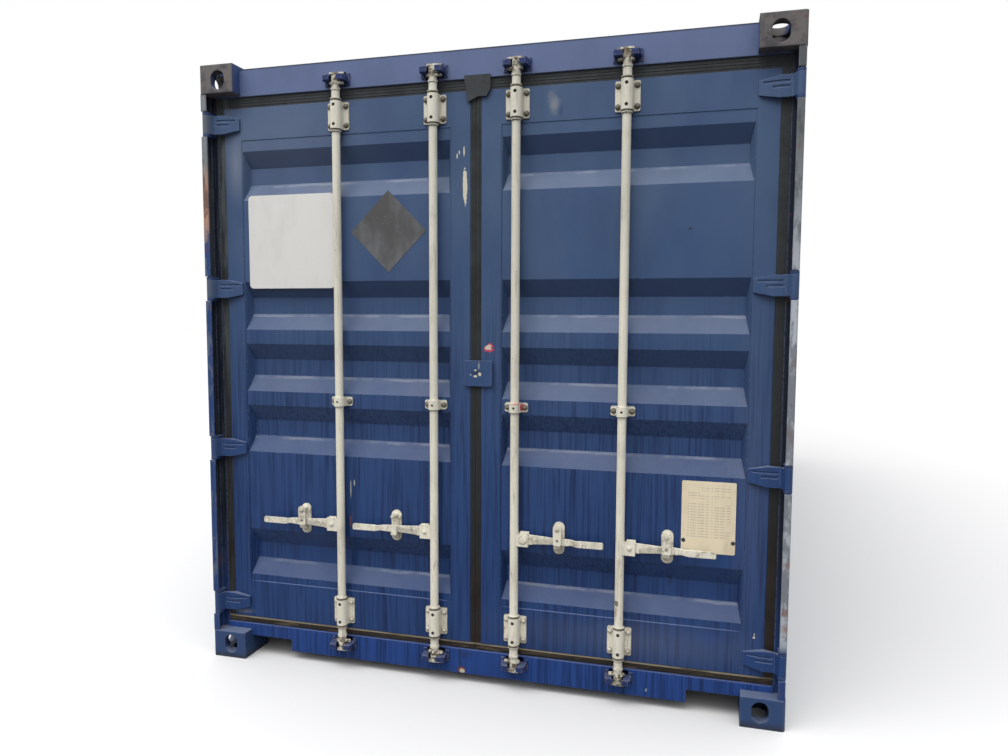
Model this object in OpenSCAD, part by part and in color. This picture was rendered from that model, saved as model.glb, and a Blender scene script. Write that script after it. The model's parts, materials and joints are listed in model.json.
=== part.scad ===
// Dry freight container, 20 ft, with a pair of doors at one end.
// Millimetres. X runs across, Y along with the doors at the -Y end, Z up from the ground.

/* [Overall size] */
// Length over the corner castings
body_l = 6058; // [4500:1:9000]
// Width over the corner castings
body_w = 2438; // [2380:1:2500]
// Height over the corner castings
body_h = 2591; // [2591:1:2900]
// How far the castings stand proud of the frame
casting_proud = 3; // [2:0.5:5]

/* [Corner castings] */
// Length of a casting along the container
casting_l = 178; // [178:1:190]
// Width of a casting across the container
casting_w = 162; // [155:1:170]
// Height of a casting
casting_h = 118; // [112:1:122]
// Thickness of the walls that carry the holes
casting_wall = 28; // [20:1:30]
// Thickness of the inner walls
casting_inner_wall = 12; // [8:1:14]
// Radius of the upright outer edge
casting_edge_r = 14; // [6:1:20]
// Length of the top and bottom slots
slot_l = 124; // [120:0.5:126]
// Width of the top and bottom slots
slot_w = 63.5; // [60:0.5:66]
// Distance between slot centres along the container, short of its length
slot_end_margin = 102.5; // [100:0.5:104]
// Distance of the slot centres from the side
slot_side_margin = 89.5; // [86:0.5:92]
// Width of the end and side holes
hole_w = 63.5; // [56:0.5:66]
// Height of the end and side holes
hole_h = 79.5; // [76:0.5:82]
// Distance of the hole centres from the top or the bottom
hole_z = 63.5; // [60:0.5:66]

/* [Door end frame] */
// Depth of the header and sill faces behind the casting faces
face_in = 56; // [52:1:60]
// Drop of the header and rail tops below the container's top
header_drop = 11; // [8:1:14]
// Height of the header face
header_h = 114; // [108:1:118]
// Plate thickness of the header
header_t = 4; // [3:0.5:4.5]
// Depth of the header box
header_d = 94; // [88:1:110]
// Height of the step that the doors close against
stop_h = 14; // [12:1:16]
// Height of the underside of the sill
sill_z = 38; // [25:1:46]
// Height of the ledge in front of the doors
ledge_z = 144; // [141:1:146]
// Height of the floor and of the sill's rear top
floor_z = 172; // [168:1:176]
// Plate thickness of the sill
sill_t = 5; // [4:0.5:5.5]
// Depth of the sill
sill_d = 104; // [96:1:120]
// Length of the notch beside each bottom casting
notch_l = 200; // [150:1:230]
// Height of the top of the notch
notch_z = 89; // [70:1:110]
// Thickness of the pressed outer post
post_t = 6; // [4:0.5:6.5]
// Width of the post's front strip
post_strip_w = 26; // [22:1:30]
// Depth of the channel's front behind the casting faces
channel_in = 64; // [63:1:68]
// Length of the post channel along the container
channel_w = 113; // [100:1:114]
// Reach of the post channel inward from the post's side face
channel_reach = 40; // [36:1:42]
// Thickness of the post channel
channel_t = 12; // [8:1:12]

/* [Front end frame] */
// Width of the front post's end face
front_post_w = 87; // [80:1:100]
// Depth of the front post's side face
front_post_d = 110; // [90:1:120]
// Depth of the front rails
front_rail_d = 60; // [56:1:80]
// Height of the front top rail
front_top_h = 75; // [60:1:90]
// Height of the underside of the base rails and of the front bottom rail
base_z = 17; // [12:0.5:20]

/* [Side rails and base] */
// Side of the square top rail
top_rail = 60; // [50:1:70]
// Wall of the square top rail
top_rail_t = 3; // [2:0.5:6]
// Height of the top of the bottom side rail
rail_top_z = 175; // [173:0.5:180]
// Width of the bottom rail's upper flange
rail_top_w = 48; // [44:1:52]
// Width of the bottom rail's lower flange
rail_low_w = 30; // [24:1:40]
// Thickness of the bottom rail
rail_t = 4.5; // [3:0.5:5]
// Thickness of the floor
floor_t = 28; // [24:1:32]
// Cross members in each of the three bays of the base
bay_members = 6; // [3:1:8]
// Flange width of a cross member
member_w = 45; // [35:1:60]
// Thickness of a cross member
member_t = 4; // [3:0.5:6]
// Distance between the fork pocket centres
pocket_pitch = 2050; // [1800:1:2200]
// Width of a fork pocket
pocket_w = 360; // [340:1:380]
// Side wall of a fork pocket
pocket_t = 4; // [3:0.5:6]
// Top and bottom plate of a fork pocket
pocket_plate = 6; // [4:0.5:8]

/* [Walls and roof] */
// Thickness of the wall and roof sheets
sheet_t = 2; // [1.5:0.1:3]
// Depth of the side wall corrugation
wall_depth = 36; // [24:1:38]
// Outer flat of the side wall corrugation
wall_outer = 72; // [60:1:90]
// Inner flat of the side wall corrugation
wall_inner = 70; // [60:1:90]
// Length of a slope of the side wall corrugation
wall_slope = 68; // [50:1:80]
// Depth of the front wall corrugation
front_depth = 44; // [30:1:45]
// Outer flat of the front wall corrugation
front_outer = 110; // [90:1:130]
// Inner flat of the front wall corrugation
front_inner = 104; // [90:1:130]
// Length of a slope of the front wall corrugation
front_slope = 18; // [12:1:30]
// Height of a roof ridge
ridge_h = 20; // [10:1:21]
// Distance between roof ridges
ridge_pitch = 209; // [180:1:260]
// Width of a ridge at its foot
ridge_foot = 110; // [90:1:140]
// Width of a ridge at its crown
ridge_crown = 74; // [50:1:84]
// Gap between a ridge's end and the top rail
ridge_end = 30; // [10:1:60]
// Side of the roof corner plates
corner_plate = 300; // [200:1:400]
// Height of a side vent
vent_h = 150; // [100:1:200]
// Depth of a side vent
vent_d = 20; // [10:1:30]

/* [Doors] */
// Depth of the door face behind the casting faces
door_in = 62; // [62:1:63]
// Thickness of a door frame
door_t = 50; // [44:1:52]
// Gap between a door's steel edge and the post
edge_gap = 35; // [32:1:38]
// Gap between a door's steel edge and the header
top_gap = 47; // [42:1:50]
// Gap between a door's steel edge and the sill
low_gap = 30; // [26:1:34]
// Half of the gap between the two doors' steel edges
centre_gap = 23; // [20:1:26]
// Width of the stile on the hinge side
hinge_stile = 81; // [78:1:90]
// Width of the stile at the middle
lock_stile = 83; // [80:1:90]
// Height of the top rail of a door
door_top_h = 136; // [130:1:146]
// Height of the bottom rail of a door
door_low_h = 167; // [150:1:176]
// Wall of the door tubes
tube_t = 3.2; // [2:0.1:5]
// Depth of the panel face behind the door face
panel_in = 2; // [1:0.5:3]
// Depth of the panel corrugation
panel_depth = 36; // [24:1:40]
// Inner flat of the panel corrugation
panel_inner = 70; // [60:1:76]
// Height of a slope of the panel corrugation
panel_slope = 69; // [60:1:70]
// Flat of the panel below its lowest corrugation
panel_low_flat = 31; // [20:1:40]
// Flat of the panel above its highest corrugation
panel_top_flat = 47; // [30:1:60]
// Distance from the middle corrugation to the two beside it
panel_near = 270; // [262:1:280]
// Flat between a corrugation's end and the stile
pan_flat = 4; // [3:0.5:8]
// Length of the slope at a corrugation's ends
pan_slope = 15; // [10:1:24]
// Thickness of a gasket's lips and stem
gasket_t = 6; // [4:0.5:8]
// Gap between the gasket's edge and what it seals
gasket_gap = 1; // [0.5:0.1:2]
// Depth of the gasket
gasket_d = 40; // [36:1:44]
// Height of the ribs on the gasket's front lip
rib_h = 2; // [1:0.5:2]
// Width of a rib
rib_w = 3; // [2:0.5:4]
// Height of the centre plate's middle above the middle of the doors
overlap_up = 5; // [0:1:10]
// Height of the centre plate
overlap_h = 104; // [80:1:120]
// Reach of the centre plate over the left door
overlap_left = 47; // [45:1:60]
// Reach of the centre plate over the right door
overlap_right = 72; // [60:1:80]

/* [Hinges] */
// Distance of the outer hinges from a door's top and bottom edges
hinge_margin = 70; // [64:1:80]
// Distance of the pins from the side
pin_side = 16; // [15:1:18]
// Depth of the pins behind the casting faces
pin_in = 20; // [19:1:22]
// Diameter of the pins
pin_d = 20; // [16:1:22]
// Radius of the hinge knuckles
knuckle_r = 15; // [14:0.5:16]
// Height of a hinge blade
blade_h = 78; // [70:1:90]
// Height of a hinge blade at its end
blade_end_h = 50; // [40:1:60]
// Reach of a hinge blade from its pin
blade_reach = 139; // [130:1:142]
// Depth of the grooves in a blade
groove_d = 3; // [1:0.5:4]
// Thickness of a hinge lug
lug_t = 12; // [10:1:16]

/* [Locking bars] */
// Distance of the inner bars from the middle
bar_near = 171; // [160:1:185]
// Distance of the outer bars from the middle
bar_far = 596; // [560:1:600]
// Diameter of a bar
bar_d = 34; // [30:1:35]
// Depth of the bar axis behind the casting faces
bar_in = 34; // [32:1:35]
// Distance of the cams from the header's lower edge and the sill's ledge
cam_in = 35.5; // [35:0.5:37]
// Reach of a cam's arms from the bar axis
cam_reach = 38; // [34:1:42]
// Reach of a cam's lobes on the other side
lobe_reach = 27; // [24:1:30]
// Width of a cam's lobes
lobe_w = 26; // [22:1:28]
// Width of an arm at its tip
arm_tip_w = 16; // [12:1:20]
// Height over the prongs of a cam
cam_h = 47; // [44:1:48]
// Thickness of a cam prong
prong_t = 8; // [6:0.5:9]
// Width of the cam's core
core_w = 33; // [30:1:33]
// Depth of the cam's core
core_d = 24; // [20:1:26]
// Free space round a moving cam
cam_clear = 5; // [4:0.5:5.5]
// Distance from a cam's middle to its bracket
bracket_from_cam = 89.5; // [84:0.5:95]
// Height of a bar bracket
bracket_h = 114; // [106:1:120]
// Width of a bar bracket
bracket_w = 95; // [90:1:110]
// Radius of a bracket's housing
housing_r = 23; // [21:0.5:25]
// Thickness of a bracket's flanges
flange_t = 6; // [4:0.5:8]
// Diameter of the small holes in the front of the housings
housing_hole_d = 9; // [6:0.5:10]
// Distance between the two holes of a bracket
housing_hole_pitch = 78; // [70:1:84]
// Free space round a bar in its housings
bar_clear = 0.5; // [0.3:0.1:1]
// Height of a middle guide
guide_h = 38; // [30:1:44]
// Height of a ring on a bar
ring_h = 7; // [5:1:10]
// Radius of a ring on a bar
ring_r = 22.5; // [20:0.5:23]
// Gap between a ring and its bracket
ring_gap = 3; // [1:0.5:5]
// Radius of the collar beside a cam
collar_r = 19.5; // [18:0.5:20]
// Height of the collar beside a cam
collar_h = 9; // [6:1:10]
// Distance of the collar's middle from the cam's middle
collar_from_cam = 43; // [42:0.5:46]

/* [Handles] */
// Height of the handles
handle_z = 640; // [636:1:650]
// Reach of a handle from its bar's axis
handle_reach = 362; // [330:1:370]
// Height of a handle at its hub
handle_h = 38; // [34:1:40]
// Height of a handle at its retainer
handle_mid_h = 27; // [24:1:30]
// Height of a handle's waist, before its grip
waist_h = 20; // [16:1:22]
// Height of a handle's grip
grip_h = 25; // [22:1:28]
// Thickness of a handle
handle_t = 12; // [8:0.5:13]
// Reach of the hub from the bar axis
hub_reach = 60; // [54:1:70]
// Height of the hub
hub_h = 58; // [50:1:64]
// Thickness of a hub cheek
cheek_t = 7; // [5:0.5:8]
// Diameter of the hub's rivet
rivet_d = 12; // [8:1:14]
// Distance of the hub's rivet from the bar axis
rivet_from_bar = 38.5; // [34:0.5:42]
// Distance of a retainer from its bar's axis
retainer_from_bar = 179; // [170:1:200]
// Width of a retainer
retainer_w = 46; // [40:1:50]
// Height of a retainer
retainer_h = 132; // [120:1:134]
// Height of a retainer's middle above the handle
retainer_up = 8; // [6:1:12]
// Thickness of a retainer's plate
retainer_t = 5; // [4:0.5:6]
// Diameter of the boss below the handle
boss_d = 32; // [20:1:36]
// Drop of the boss below the handle
boss_drop = 37; // [34:1:42]
// Height of a hasp's rivet above the handle
hasp_up = 54; // [50:1:60]
// Width of a hasp
hasp_w = 34; // [30:1:36]
// Length of a hasp below its rivet
hasp_l = 68; // [60:1:72]
// Diameter of the seal hole in a hasp
seal_hole_d = 11; // [8:1:12]
// Thickness of a hasp
hasp_t = 5; // [4:0.5:6]
// Free space between a hasp and its handle
hasp_gap = 5; // [4:0.5:6]

/* [Hidden] */
$fn = 48;
cut = 1;

half_w = body_w / 2;
side_x = half_w - casting_proud;
top_z = body_h - header_drop;
casting_x = half_w - casting_w;

head_low_z = top_z - header_h;
stop_in = door_in + door_t + 6;
recess_x = side_x - channel_reach;
post_d = channel_in + channel_w;
post_low_z = casting_h;
post_top_z = body_h - casting_h;

roof_z = top_z - ridge_h + 5;
wall_top_z = roof_z - top_rail;
wall_first = deep(post_d);
wall_last = fore(front_post_d);
wall_pitch = wall_outer + wall_inner + 2 * wall_slope;
wall_count = floor((wall_last - wall_first - wall_outer) / wall_pitch);
member_low_z = base_z + rail_t + 0.5;
floor_low_z = floor_z - floor_t;
pocket_out_w = pocket_w + 2 * pocket_t;
floor_x = side_x - rail_top_w - 2;
floor_start = face_in + sill_d;
floor_end = casting_proud + front_rail_d;

leaf_out_x = recess_x - edge_gap;
leaf_in_x = centre_gap;
leaf_low_z = ledge_z + low_gap;
leaf_top_z = head_low_z - top_gap;
panel_low_z = leaf_low_z + door_low_h;
panel_top_z = leaf_top_z - door_top_h;
panel_out_x = leaf_out_x - hinge_stile;
panel_in_x = leaf_in_x + lock_stile;
panel_face = door_in + panel_in;
pan_half = panel_inner / 2 + panel_slope;
pan_low_z = panel_low_z + panel_low_flat + pan_half;
pan_top_z = panel_top_z - panel_top_flat - pan_half;
pan_mid_z = (pan_low_z + pan_top_z) / 2;
pans = [pan_low_z, pan_mid_z - panel_near, pan_mid_z, pan_mid_z + panel_near, pan_top_z];
overlap_z = (leaf_low_z + leaf_top_z) / 2 + overlap_up;

pin_x = half_w - pin_side;
hinge_pitch = (leaf_top_z - leaf_low_z - 2 * hinge_margin) / 3;
hinge_heights = [for (i = [0:3]) leaf_low_z + hinge_margin + i * hinge_pitch];
blade_gap = 0.5;
pin_clear = 0.3;
lug_half = blade_h / 2 + blade_gap + lug_t;
pin_half = lug_half + 5;
hinge_gap = 1.5;
blade_front = pin_in + 18;
blade_end_t = 10;

cam_top_z = head_low_z + cam_in;
cam_low_z = ledge_z - cam_in;
window_half_h = cam_h / 2 + cam_clear + 0.5;
window_rib = cam_h / 2 - prong_t - cam_clear - 0.5;
window_half_w = sqrt(pow(cam_reach + cam_clear, 2) - pow(face_in - bar_in, 2)) + 1;
keeper_in = cam_reach + cam_clear;
bracket_top_z = cam_top_z - bracket_from_cam - bracket_h;
bracket_low_z = cam_low_z + bracket_from_cam;
bars = [bar_near, bar_far];
guide_z = pan_mid_z - panel_near / 2;

cheek_gap = 0.3;
hub_in = bar_in - handle_t / 2 - cheek_gap - cheek_t;
handle_front = bar_in - handle_t / 2;
hasp_front = handle_front - hasp_gap - hasp_t;
hasp_z = handle_z + hasp_up;
hasp_pin_d = 10;

// The Y of a depth behind the faces of the door end castings
function deep(v) = v - body_l / 2;

// The Y of a depth behind the faces of the front end castings
function fore(v) = body_l / 2 - v;

// One side of a trapezium wave: flats joined by slopes, as [distance, depth] points
function wave(count, first, last, outer, slope, inner, depth) = concat(
    [[first, 0]],
    [for (i = [0:count - 1], p = [0:3])
        let (pitch = outer + inner + 2 * slope,
            start = (first + last) / 2 + (i - count / 2) * pitch + outer / 2)
        [start + [0, slope, slope + inner, 2 * slope + inner][p], [0, depth, depth, 0][p]]],
    [[last, 0]]
);

// A sheet of even depth that follows a wave
module wave_sheet(points, thick) {
    n = len(points);
    polygon(concat(points, [for (i = [n - 1:-1:0]) points[i] + [0, thick]]));
}

// A slot outline, its long way along Y
module slot(w, l) {
    square([w, l - w], center = true);
    for (s = [-1, 1]) translate([0, s * (l - w) / 2]) circle(d = w);
}

// A rectangle with round corners, about its middle
module round_rect(w, l, r) {
    square([w, l - 2 * r], center = true);
    square([w - 2 * r, l], center = true);
    for (x = [-1, 1], y = [-1, 1]) translate([x * (w / 2 - r), y * (l / 2 - r)]) circle(r = r);
}

// A box between two corners
module box(low, high) {
    translate(low) cube(high - low);
}

// The shape and its mirror image across the container
module both_sides() {
    children();
    mirror([1, 0, 0]) children();
}

// A profile in [x, z], extruded from one depth to the next
module upright_plate(v0, v1) {
    translate([0, deep(v1), 0]) rotate([90, 0, 0]) linear_extrude(v1 - v0) children();
}

// A profile in [depth, z] at the door end, extruded across the container
module across(x0, x1) {
    translate([x0, deep(0), 0]) rotate([90, 0, 90]) linear_extrude(x1 - x0) children();
}

// One corner casting, measured from its outer faces inward
module casting() {
    difference() {
        linear_extrude(casting_h) {
            translate([casting_edge_r, 0]) square([casting_w - casting_edge_r, casting_l]);
            translate([0, casting_edge_r]) square([casting_w, casting_l - casting_edge_r]);
            translate([casting_edge_r, casting_edge_r]) circle(r = casting_edge_r);
        }
        box([casting_wall, casting_wall, casting_wall],
            [casting_w - casting_inner_wall, casting_l - casting_inner_wall,
                casting_h - casting_inner_wall]);
        translate([slot_side_margin, slot_end_margin, -cut])
            linear_extrude(casting_wall + 2 * cut) slot(slot_w, slot_l);
        translate([slot_side_margin, casting_wall + cut, hole_z]) rotate([90, 0, 0])
            linear_extrude(casting_wall + 2 * cut) slot(hole_w, hole_h);
        translate([-cut, slot_end_margin, hole_z]) rotate([90, 0, 90])
            linear_extrude(casting_wall + 2 * cut) slot(hole_w, hole_h);
    }
}

// Four castings, at the top or at the bottom
module castings(top) {
    for (x = [0, 1], y = [0, 1])
        mirror([x, 0, 0]) mirror([0, y, 0])
            translate([-half_w, -body_l / 2, top ? body_h : 0]) mirror([0, 0, top ? 1 : 0])
                casting();
}

module top_corner_castings() {
    color("dimgray") castings(true);
}

module bottom_corner_castings() {
    color("darkslateblue") castings(false);
}

// The plan of a door end post, in [distance across, depth]
module door_post_plan() {
    difference() {
        union() {
            translate([side_x - post_strip_w, casting_proud]) square([post_strip_w, post_t]);
            translate([side_x - post_t, casting_proud]) square([post_t, post_d - casting_proud]);
            translate([recess_x, channel_in]) square([channel_reach - cut / 2, channel_w]);
        }
        translate([recess_x + channel_t, channel_in + channel_t])
            square([channel_reach - channel_t - post_t, channel_w - 2 * channel_t]);
    }
}

module door_end_posts() {
    color("lightslategray") both_sides() difference() {
        translate([0, deep(0), post_low_z]) linear_extrude(post_top_z - post_low_z)
            door_post_plan();
        for (z = hinge_heights) {
            box([side_x - post_strip_w - cut, deep(0), z - lug_half - hinge_gap],
                [half_w, deep(casting_proud + post_t + cut), z + lug_half + hinge_gap]);
            box([side_x - post_t - cut, deep(casting_proud + post_t), z - pin_half - hinge_gap],
                [half_w, deep(pin_in + knuckle_r + 2), z + pin_half + hinge_gap]);
            box([side_x - post_t - cut, deep(0), z - blade_h / 2 - cam_clear],
                [half_w, deep(channel_in - lug_t), z + blade_h / 2 + cam_clear]);
        }
    }
}

module front_end_posts() {
    color("steelblue") both_sides()
        translate([0, fore(0), post_low_z]) mirror([0, 1, 0])
            linear_extrude(post_top_z - post_low_z) {
                translate([side_x - front_post_w, casting_proud]) square([front_post_w, post_t]);
                translate([side_x - post_t, casting_proud])
                    square([post_t, front_post_d - casting_proud]);
                translate([side_x - channel_reach, front_post_d - post_t])
                    square([channel_reach, post_t]);
                translate([side_x - front_post_w, casting_proud]) square([post_t, front_rail_d]);
            }
}

// The section of the header in [depth, z], drawn in by the plate thickness
module header_section(t) {
    polygon([
        [face_in + t, head_low_z + t], [face_in + t, top_z - t],
        [face_in + header_d - t, top_z - t], [face_in + header_d - t, head_low_z - stop_h + t],
        [stop_in + t, head_low_z - stop_h + t], [stop_in + t, head_low_z + t]
    ]);
}

// Clearance for a turning cam, through a face plate
module cam_windows(z, t) {
    for (x = bars, low = [window_rib, -window_half_h])
        box([x - window_half_w, deep(face_in - cut), z + low],
            [x + window_half_w, deep(face_in + t + cut), z + low + window_half_h - window_rib]);
}

module door_header() {
    color("slateblue") difference() {
        across(-recess_x, recess_x) header_section(0);
        across(-recess_x + header_t, recess_x - header_t) header_section(header_t);
        both_sides() {
            box([casting_x, deep(0), post_top_z],
                [half_w, deep(face_in + header_d + cut), body_h]);
            cam_windows(cam_top_z, header_t);
        }
    }
}

module door_sill() {
    color("royalblue") difference() {
        across(-recess_x, recess_x) difference() {
            polygon([
                [face_in, sill_z], [face_in, ledge_z], [stop_in, ledge_z], [stop_in, floor_z],
                [face_in + sill_d, floor_z], [face_in + sill_d, sill_z]
            ]);
            polygon([
                [face_in + sill_t, sill_z + sill_t], [face_in + sill_t, ledge_z - sill_t],
                [stop_in + sill_t, ledge_z - sill_t], [stop_in + sill_t, floor_z - sill_t],
                [face_in + sill_d - sill_t, floor_z - sill_t],
                [face_in + sill_d - sill_t, sill_z - cut], [face_in + sill_d / 3, sill_z - cut],
                [face_in + sill_d / 3, sill_z + sill_t]
            ]);
        }
        both_sides() {
            box([casting_x - notch_l, deep(0), 0],
                [casting_x, deep(face_in + sill_d + cut), notch_z]);
            box([casting_x, deep(0), 0], [half_w, deep(face_in + sill_d + cut), casting_h]);
            cam_windows(cam_low_z, sill_t);
        }
    }
}

module front_top_rail() {
    color("steelblue") difference() {
        box([-casting_x, fore(floor_end), top_z - front_top_h],
            [casting_x, fore(casting_proud), top_z]);
        box([-casting_x + top_rail_t, fore(floor_end - top_rail_t), top_z - front_top_h + top_rail_t],
            [casting_x - top_rail_t, fore(casting_proud + top_rail_t), top_z - top_rail_t]);
    }
}

module front_bottom_rail() {
    color("steelblue") difference() {
        box([-casting_x, fore(floor_end), base_z], [casting_x, fore(casting_proud), rail_top_z]);
        box([-half_w, fore(floor_end + cut), base_z + rail_t],
            [half_w, fore(casting_proud + rail_t), rail_top_z - rail_t]);
    }
}

module top_side_rails() {
    color("steelblue") both_sides() difference() {
        box([side_x - top_rail, deep(casting_l), wall_top_z], [side_x, fore(casting_l), roof_z]);
        box([side_x - top_rail + top_rail_t, deep(0), wall_top_z + top_rail_t],
            [side_x - top_rail_t, fore(0), roof_z - top_rail_t]);
    }
}

module bottom_side_rails() {
    color("royalblue") both_sides() difference() {
        box([side_x - rail_top_w, deep(casting_l), base_z], [side_x, fore(casting_l), rail_top_z]);
        box([0, deep(0), base_z + rail_t], [side_x - rail_t, fore(0), rail_top_z - rail_t]);
        box([0, deep(0), base_z - cut], [side_x - rail_low_w, fore(0), base_z + rail_t + cut]);
        for (s = [-1, 1])
            box([0, s * pocket_pitch / 2 - pocket_out_w / 2, base_z - cut],
                [half_w, s * pocket_pitch / 2 + pocket_out_w / 2, floor_low_z]);
    }
}

module cross_members() {
    pocket_y = pocket_pitch / 2 + pocket_out_w / 2;
    bays = [
        [deep(floor_start), -pocket_y], [-pocket_y + pocket_out_w, pocket_y - pocket_out_w],
        [pocket_y, fore(floor_end)]
    ];
    color("slategray") for (bay = bays, i = [0:bay_members - 1]) {
        y = bay[0] + (i + 0.5) * (bay[1] - bay[0]) / bay_members - member_w / 2;
        difference() {
            box([-side_x + rail_t, y, member_low_z], [side_x - rail_t, y + member_w, floor_low_z]);
            box([-half_w, y + member_t, member_low_z + member_t],
                [half_w, y + member_w + cut, floor_low_z - member_t]);
        }
    }
}

module fork_pockets() {
    color("royalblue") for (s = [-1, 1]) translate([0, s * pocket_pitch / 2, 0]) difference() {
        box([-side_x, -pocket_out_w / 2, base_z], [side_x, pocket_out_w / 2, floor_low_z]);
        box([-half_w, -pocket_w / 2, base_z + pocket_plate],
            [half_w, pocket_w / 2, floor_low_z - pocket_plate]);
    }
}

module floor_panel() {
    color("peru")
        box([-floor_x, deep(floor_start), floor_low_z], [floor_x, fore(floor_end), floor_z]);
}

// The room that the top corner castings take
module casting_room() {
    for (x = [-half_w, casting_x], y = [deep(0), fore(casting_l)])
        box([x, y, post_top_z], [x + casting_w, y + casting_l, body_h]);
}

// A side wall, drawn on the right
module side_wall() {
    difference() {
        translate([side_x, 0, rail_top_z]) rotate([0, 0, 90])
            linear_extrude(wall_top_z - rail_top_z)
                wave_sheet(wave(wall_count, wall_first, wall_last, wall_outer, wall_slope,
                    wall_inner, wall_depth), sheet_t);
        casting_room();
    }
}

module right_wall() {
    color("steelblue") side_wall();
}

module left_wall() {
    color("steelblue") mirror([1, 0, 0]) side_wall();
}

module front_wall() {
    edge = side_x - front_post_w;
    count = floor((2 * edge - front_outer) / (front_outer + front_inner + 2 * front_slope));
    color("steelblue") difference() {
        translate([0, fore(casting_proud + cut), rail_top_z]) mirror([0, 1, 0])
            linear_extrude(wall_top_z - rail_top_z)
                wave_sheet(wave(count, -edge, edge, front_outer, front_slope, front_inner,
                    front_depth), sheet_t);
        casting_room();
    }
}

// The ridges of the roof as one comb, drawn in by a wall, in [y, z]
module ridge_comb(t) {
    first = deep(2 * casting_l);
    last = fore(2 * casting_l);
    count = floor((last - first) / ridge_pitch);
    for (i = [0:count - 1]) {
        y = (first + last) / 2 + (i - (count - 1) / 2) * ridge_pitch;
        polygon([
            [y - ridge_foot / 2 + t, -cut], [y - ridge_foot / 2 + t, 0],
            [y - ridge_crown / 2 + t, ridge_h - t], [y + ridge_crown / 2 - t, ridge_h - t],
            [y + ridge_foot / 2 - t, 0], [y + ridge_foot / 2 - t, -cut]
        ]);
    }
}

module roof_panel() {
    ridge_x = side_x - top_rail - ridge_end;
    color("steelblue") translate([0, 0, roof_z]) difference() {
        union() {
            box([-side_x, deep(casting_l), 0], [side_x, fore(casting_l), sheet_t]);
            box([-casting_x, deep(face_in + header_d), 0], [casting_x, fore(floor_end), sheet_t]);
            translate([-ridge_x, 0, cut]) rotate([90, 0, 90]) linear_extrude(2 * ridge_x)
                ridge_comb(0);
        }
        translate([-ridge_x + sheet_t, 0, 0]) rotate([90, 0, 90])
            linear_extrude(2 * (ridge_x - sheet_t)) ridge_comb(sheet_t);
    }
}

module roof_corner_plates() {
    color("steelblue") both_sides() for (y = [deep(face_in + header_d), fore(2 * casting_l - 30)])
        box([casting_x - corner_plate, y, roof_z + sheet_t],
            [casting_x, y + casting_l, roof_z + 3 * sheet_t]);
}

// Vents in the wall's inner flats nearest to each end
module side_vents() {
    color("lightsteelblue") both_sides() for (i = [1, wall_count - 2]) {
        y = (wall_first + wall_last) / 2 + (i + 0.5 - wall_count / 2) * wall_pitch;
        translate([0, 0, wall_top_z - 2 * vent_h])
            box([side_x - wall_depth, y - wall_inner / 2 + 2, 0],
                [side_x - wall_depth + vent_d, y + wall_inner / 2 - 2, vent_h]);
    }
}

// One lug of a keeper, on the right of its bar: a nose that reaches over the cam's core
module keeper_lug() {
    lug_out = keeper_in + 7;
    lug_in = core_w / 2 + 7;
    lip_in = core_d / 2 + cam_clear;
    nose = casting_proud;
    translate([0, deep(0), -cam_h / 2 + prong_t + cam_clear])
        linear_extrude(cam_h - 2 * prong_t - 2 * cam_clear)
            polygon([
                [lip_in, nose], [lug_out - 8, nose], [lug_out, nose + 12], [lug_out, face_in],
                [lug_in, face_in], [lug_in, nose + 6], [lip_in, nose + 6]
            ]);
    box([keeper_in, deep(face_in - flange_t), -cam_h / 2],
        [lug_out + flange_t, deep(face_in), cam_h / 2]);
}

module cam_keepers() {
    color("royalblue") both_sides() for (x = bars, z = [cam_low_z, cam_top_z])
        translate([x, 0, z]) both_sides() keeper_lug();
}

// The plan of a hinge lug: an eye round the pin and a root on the post
module lug_plan() {
    difference() {
        union() {
            translate([pin_x, pin_in]) circle(r = knuckle_r);
            translate([pin_x - knuckle_r, pin_in])
                square([side_x - post_t - pin_x + knuckle_r, channel_in - pin_in]);
        }
        translate([pin_x, pin_in]) circle(r = pin_d / 2 + pin_clear);
    }
}

module hinge_lugs() {
    color("slateblue") both_sides() for (z = hinge_heights, s = [-1, 1])
        translate([0, deep(0), z + s * (lug_half - lug_t / 2) - lug_t / 2])
            linear_extrude(lug_t) lug_plan();
}

module hinge_pins() {
    color("silver") both_sides() for (z = hinge_heights)
        translate([pin_x, deep(pin_in), z - pin_half]) cylinder(d = pin_d, h = 2 * pin_half);
}

// The outline of a door leaf on the right in [x, z], grown or drawn in on all sides
module leaf_outline(grow) {
    translate([leaf_in_x - grow, leaf_low_z - grow])
        square([leaf_out_x - leaf_in_x + 2 * grow, leaf_top_z - leaf_low_z + 2 * grow]);
}

// Stiles and rails of the door on the right, as hollow tubes
module door_frame() {
    difference() {
        upright_plate(door_in, door_in + door_t) difference() {
            leaf_outline(0);
            translate([panel_in_x, panel_low_z])
                square([panel_out_x - panel_in_x, panel_top_z - panel_low_z]);
        }
        for (x = [leaf_in_x, panel_out_x])
            box([x + tube_t, deep(door_in + tube_t), leaf_low_z + tube_t],
                [x + (x == leaf_in_x ? lock_stile : hinge_stile) - tube_t,
                    deep(door_in + door_t - tube_t), leaf_top_z - tube_t]);
        for (z = [leaf_low_z, panel_top_z])
            box([panel_in_x + tube_t, deep(door_in + tube_t), z + tube_t],
                [panel_out_x - tube_t, deep(door_in + door_t - tube_t),
                    z + (z == leaf_low_z ? door_low_h : door_top_h) - tube_t]);
    }
}

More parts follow.
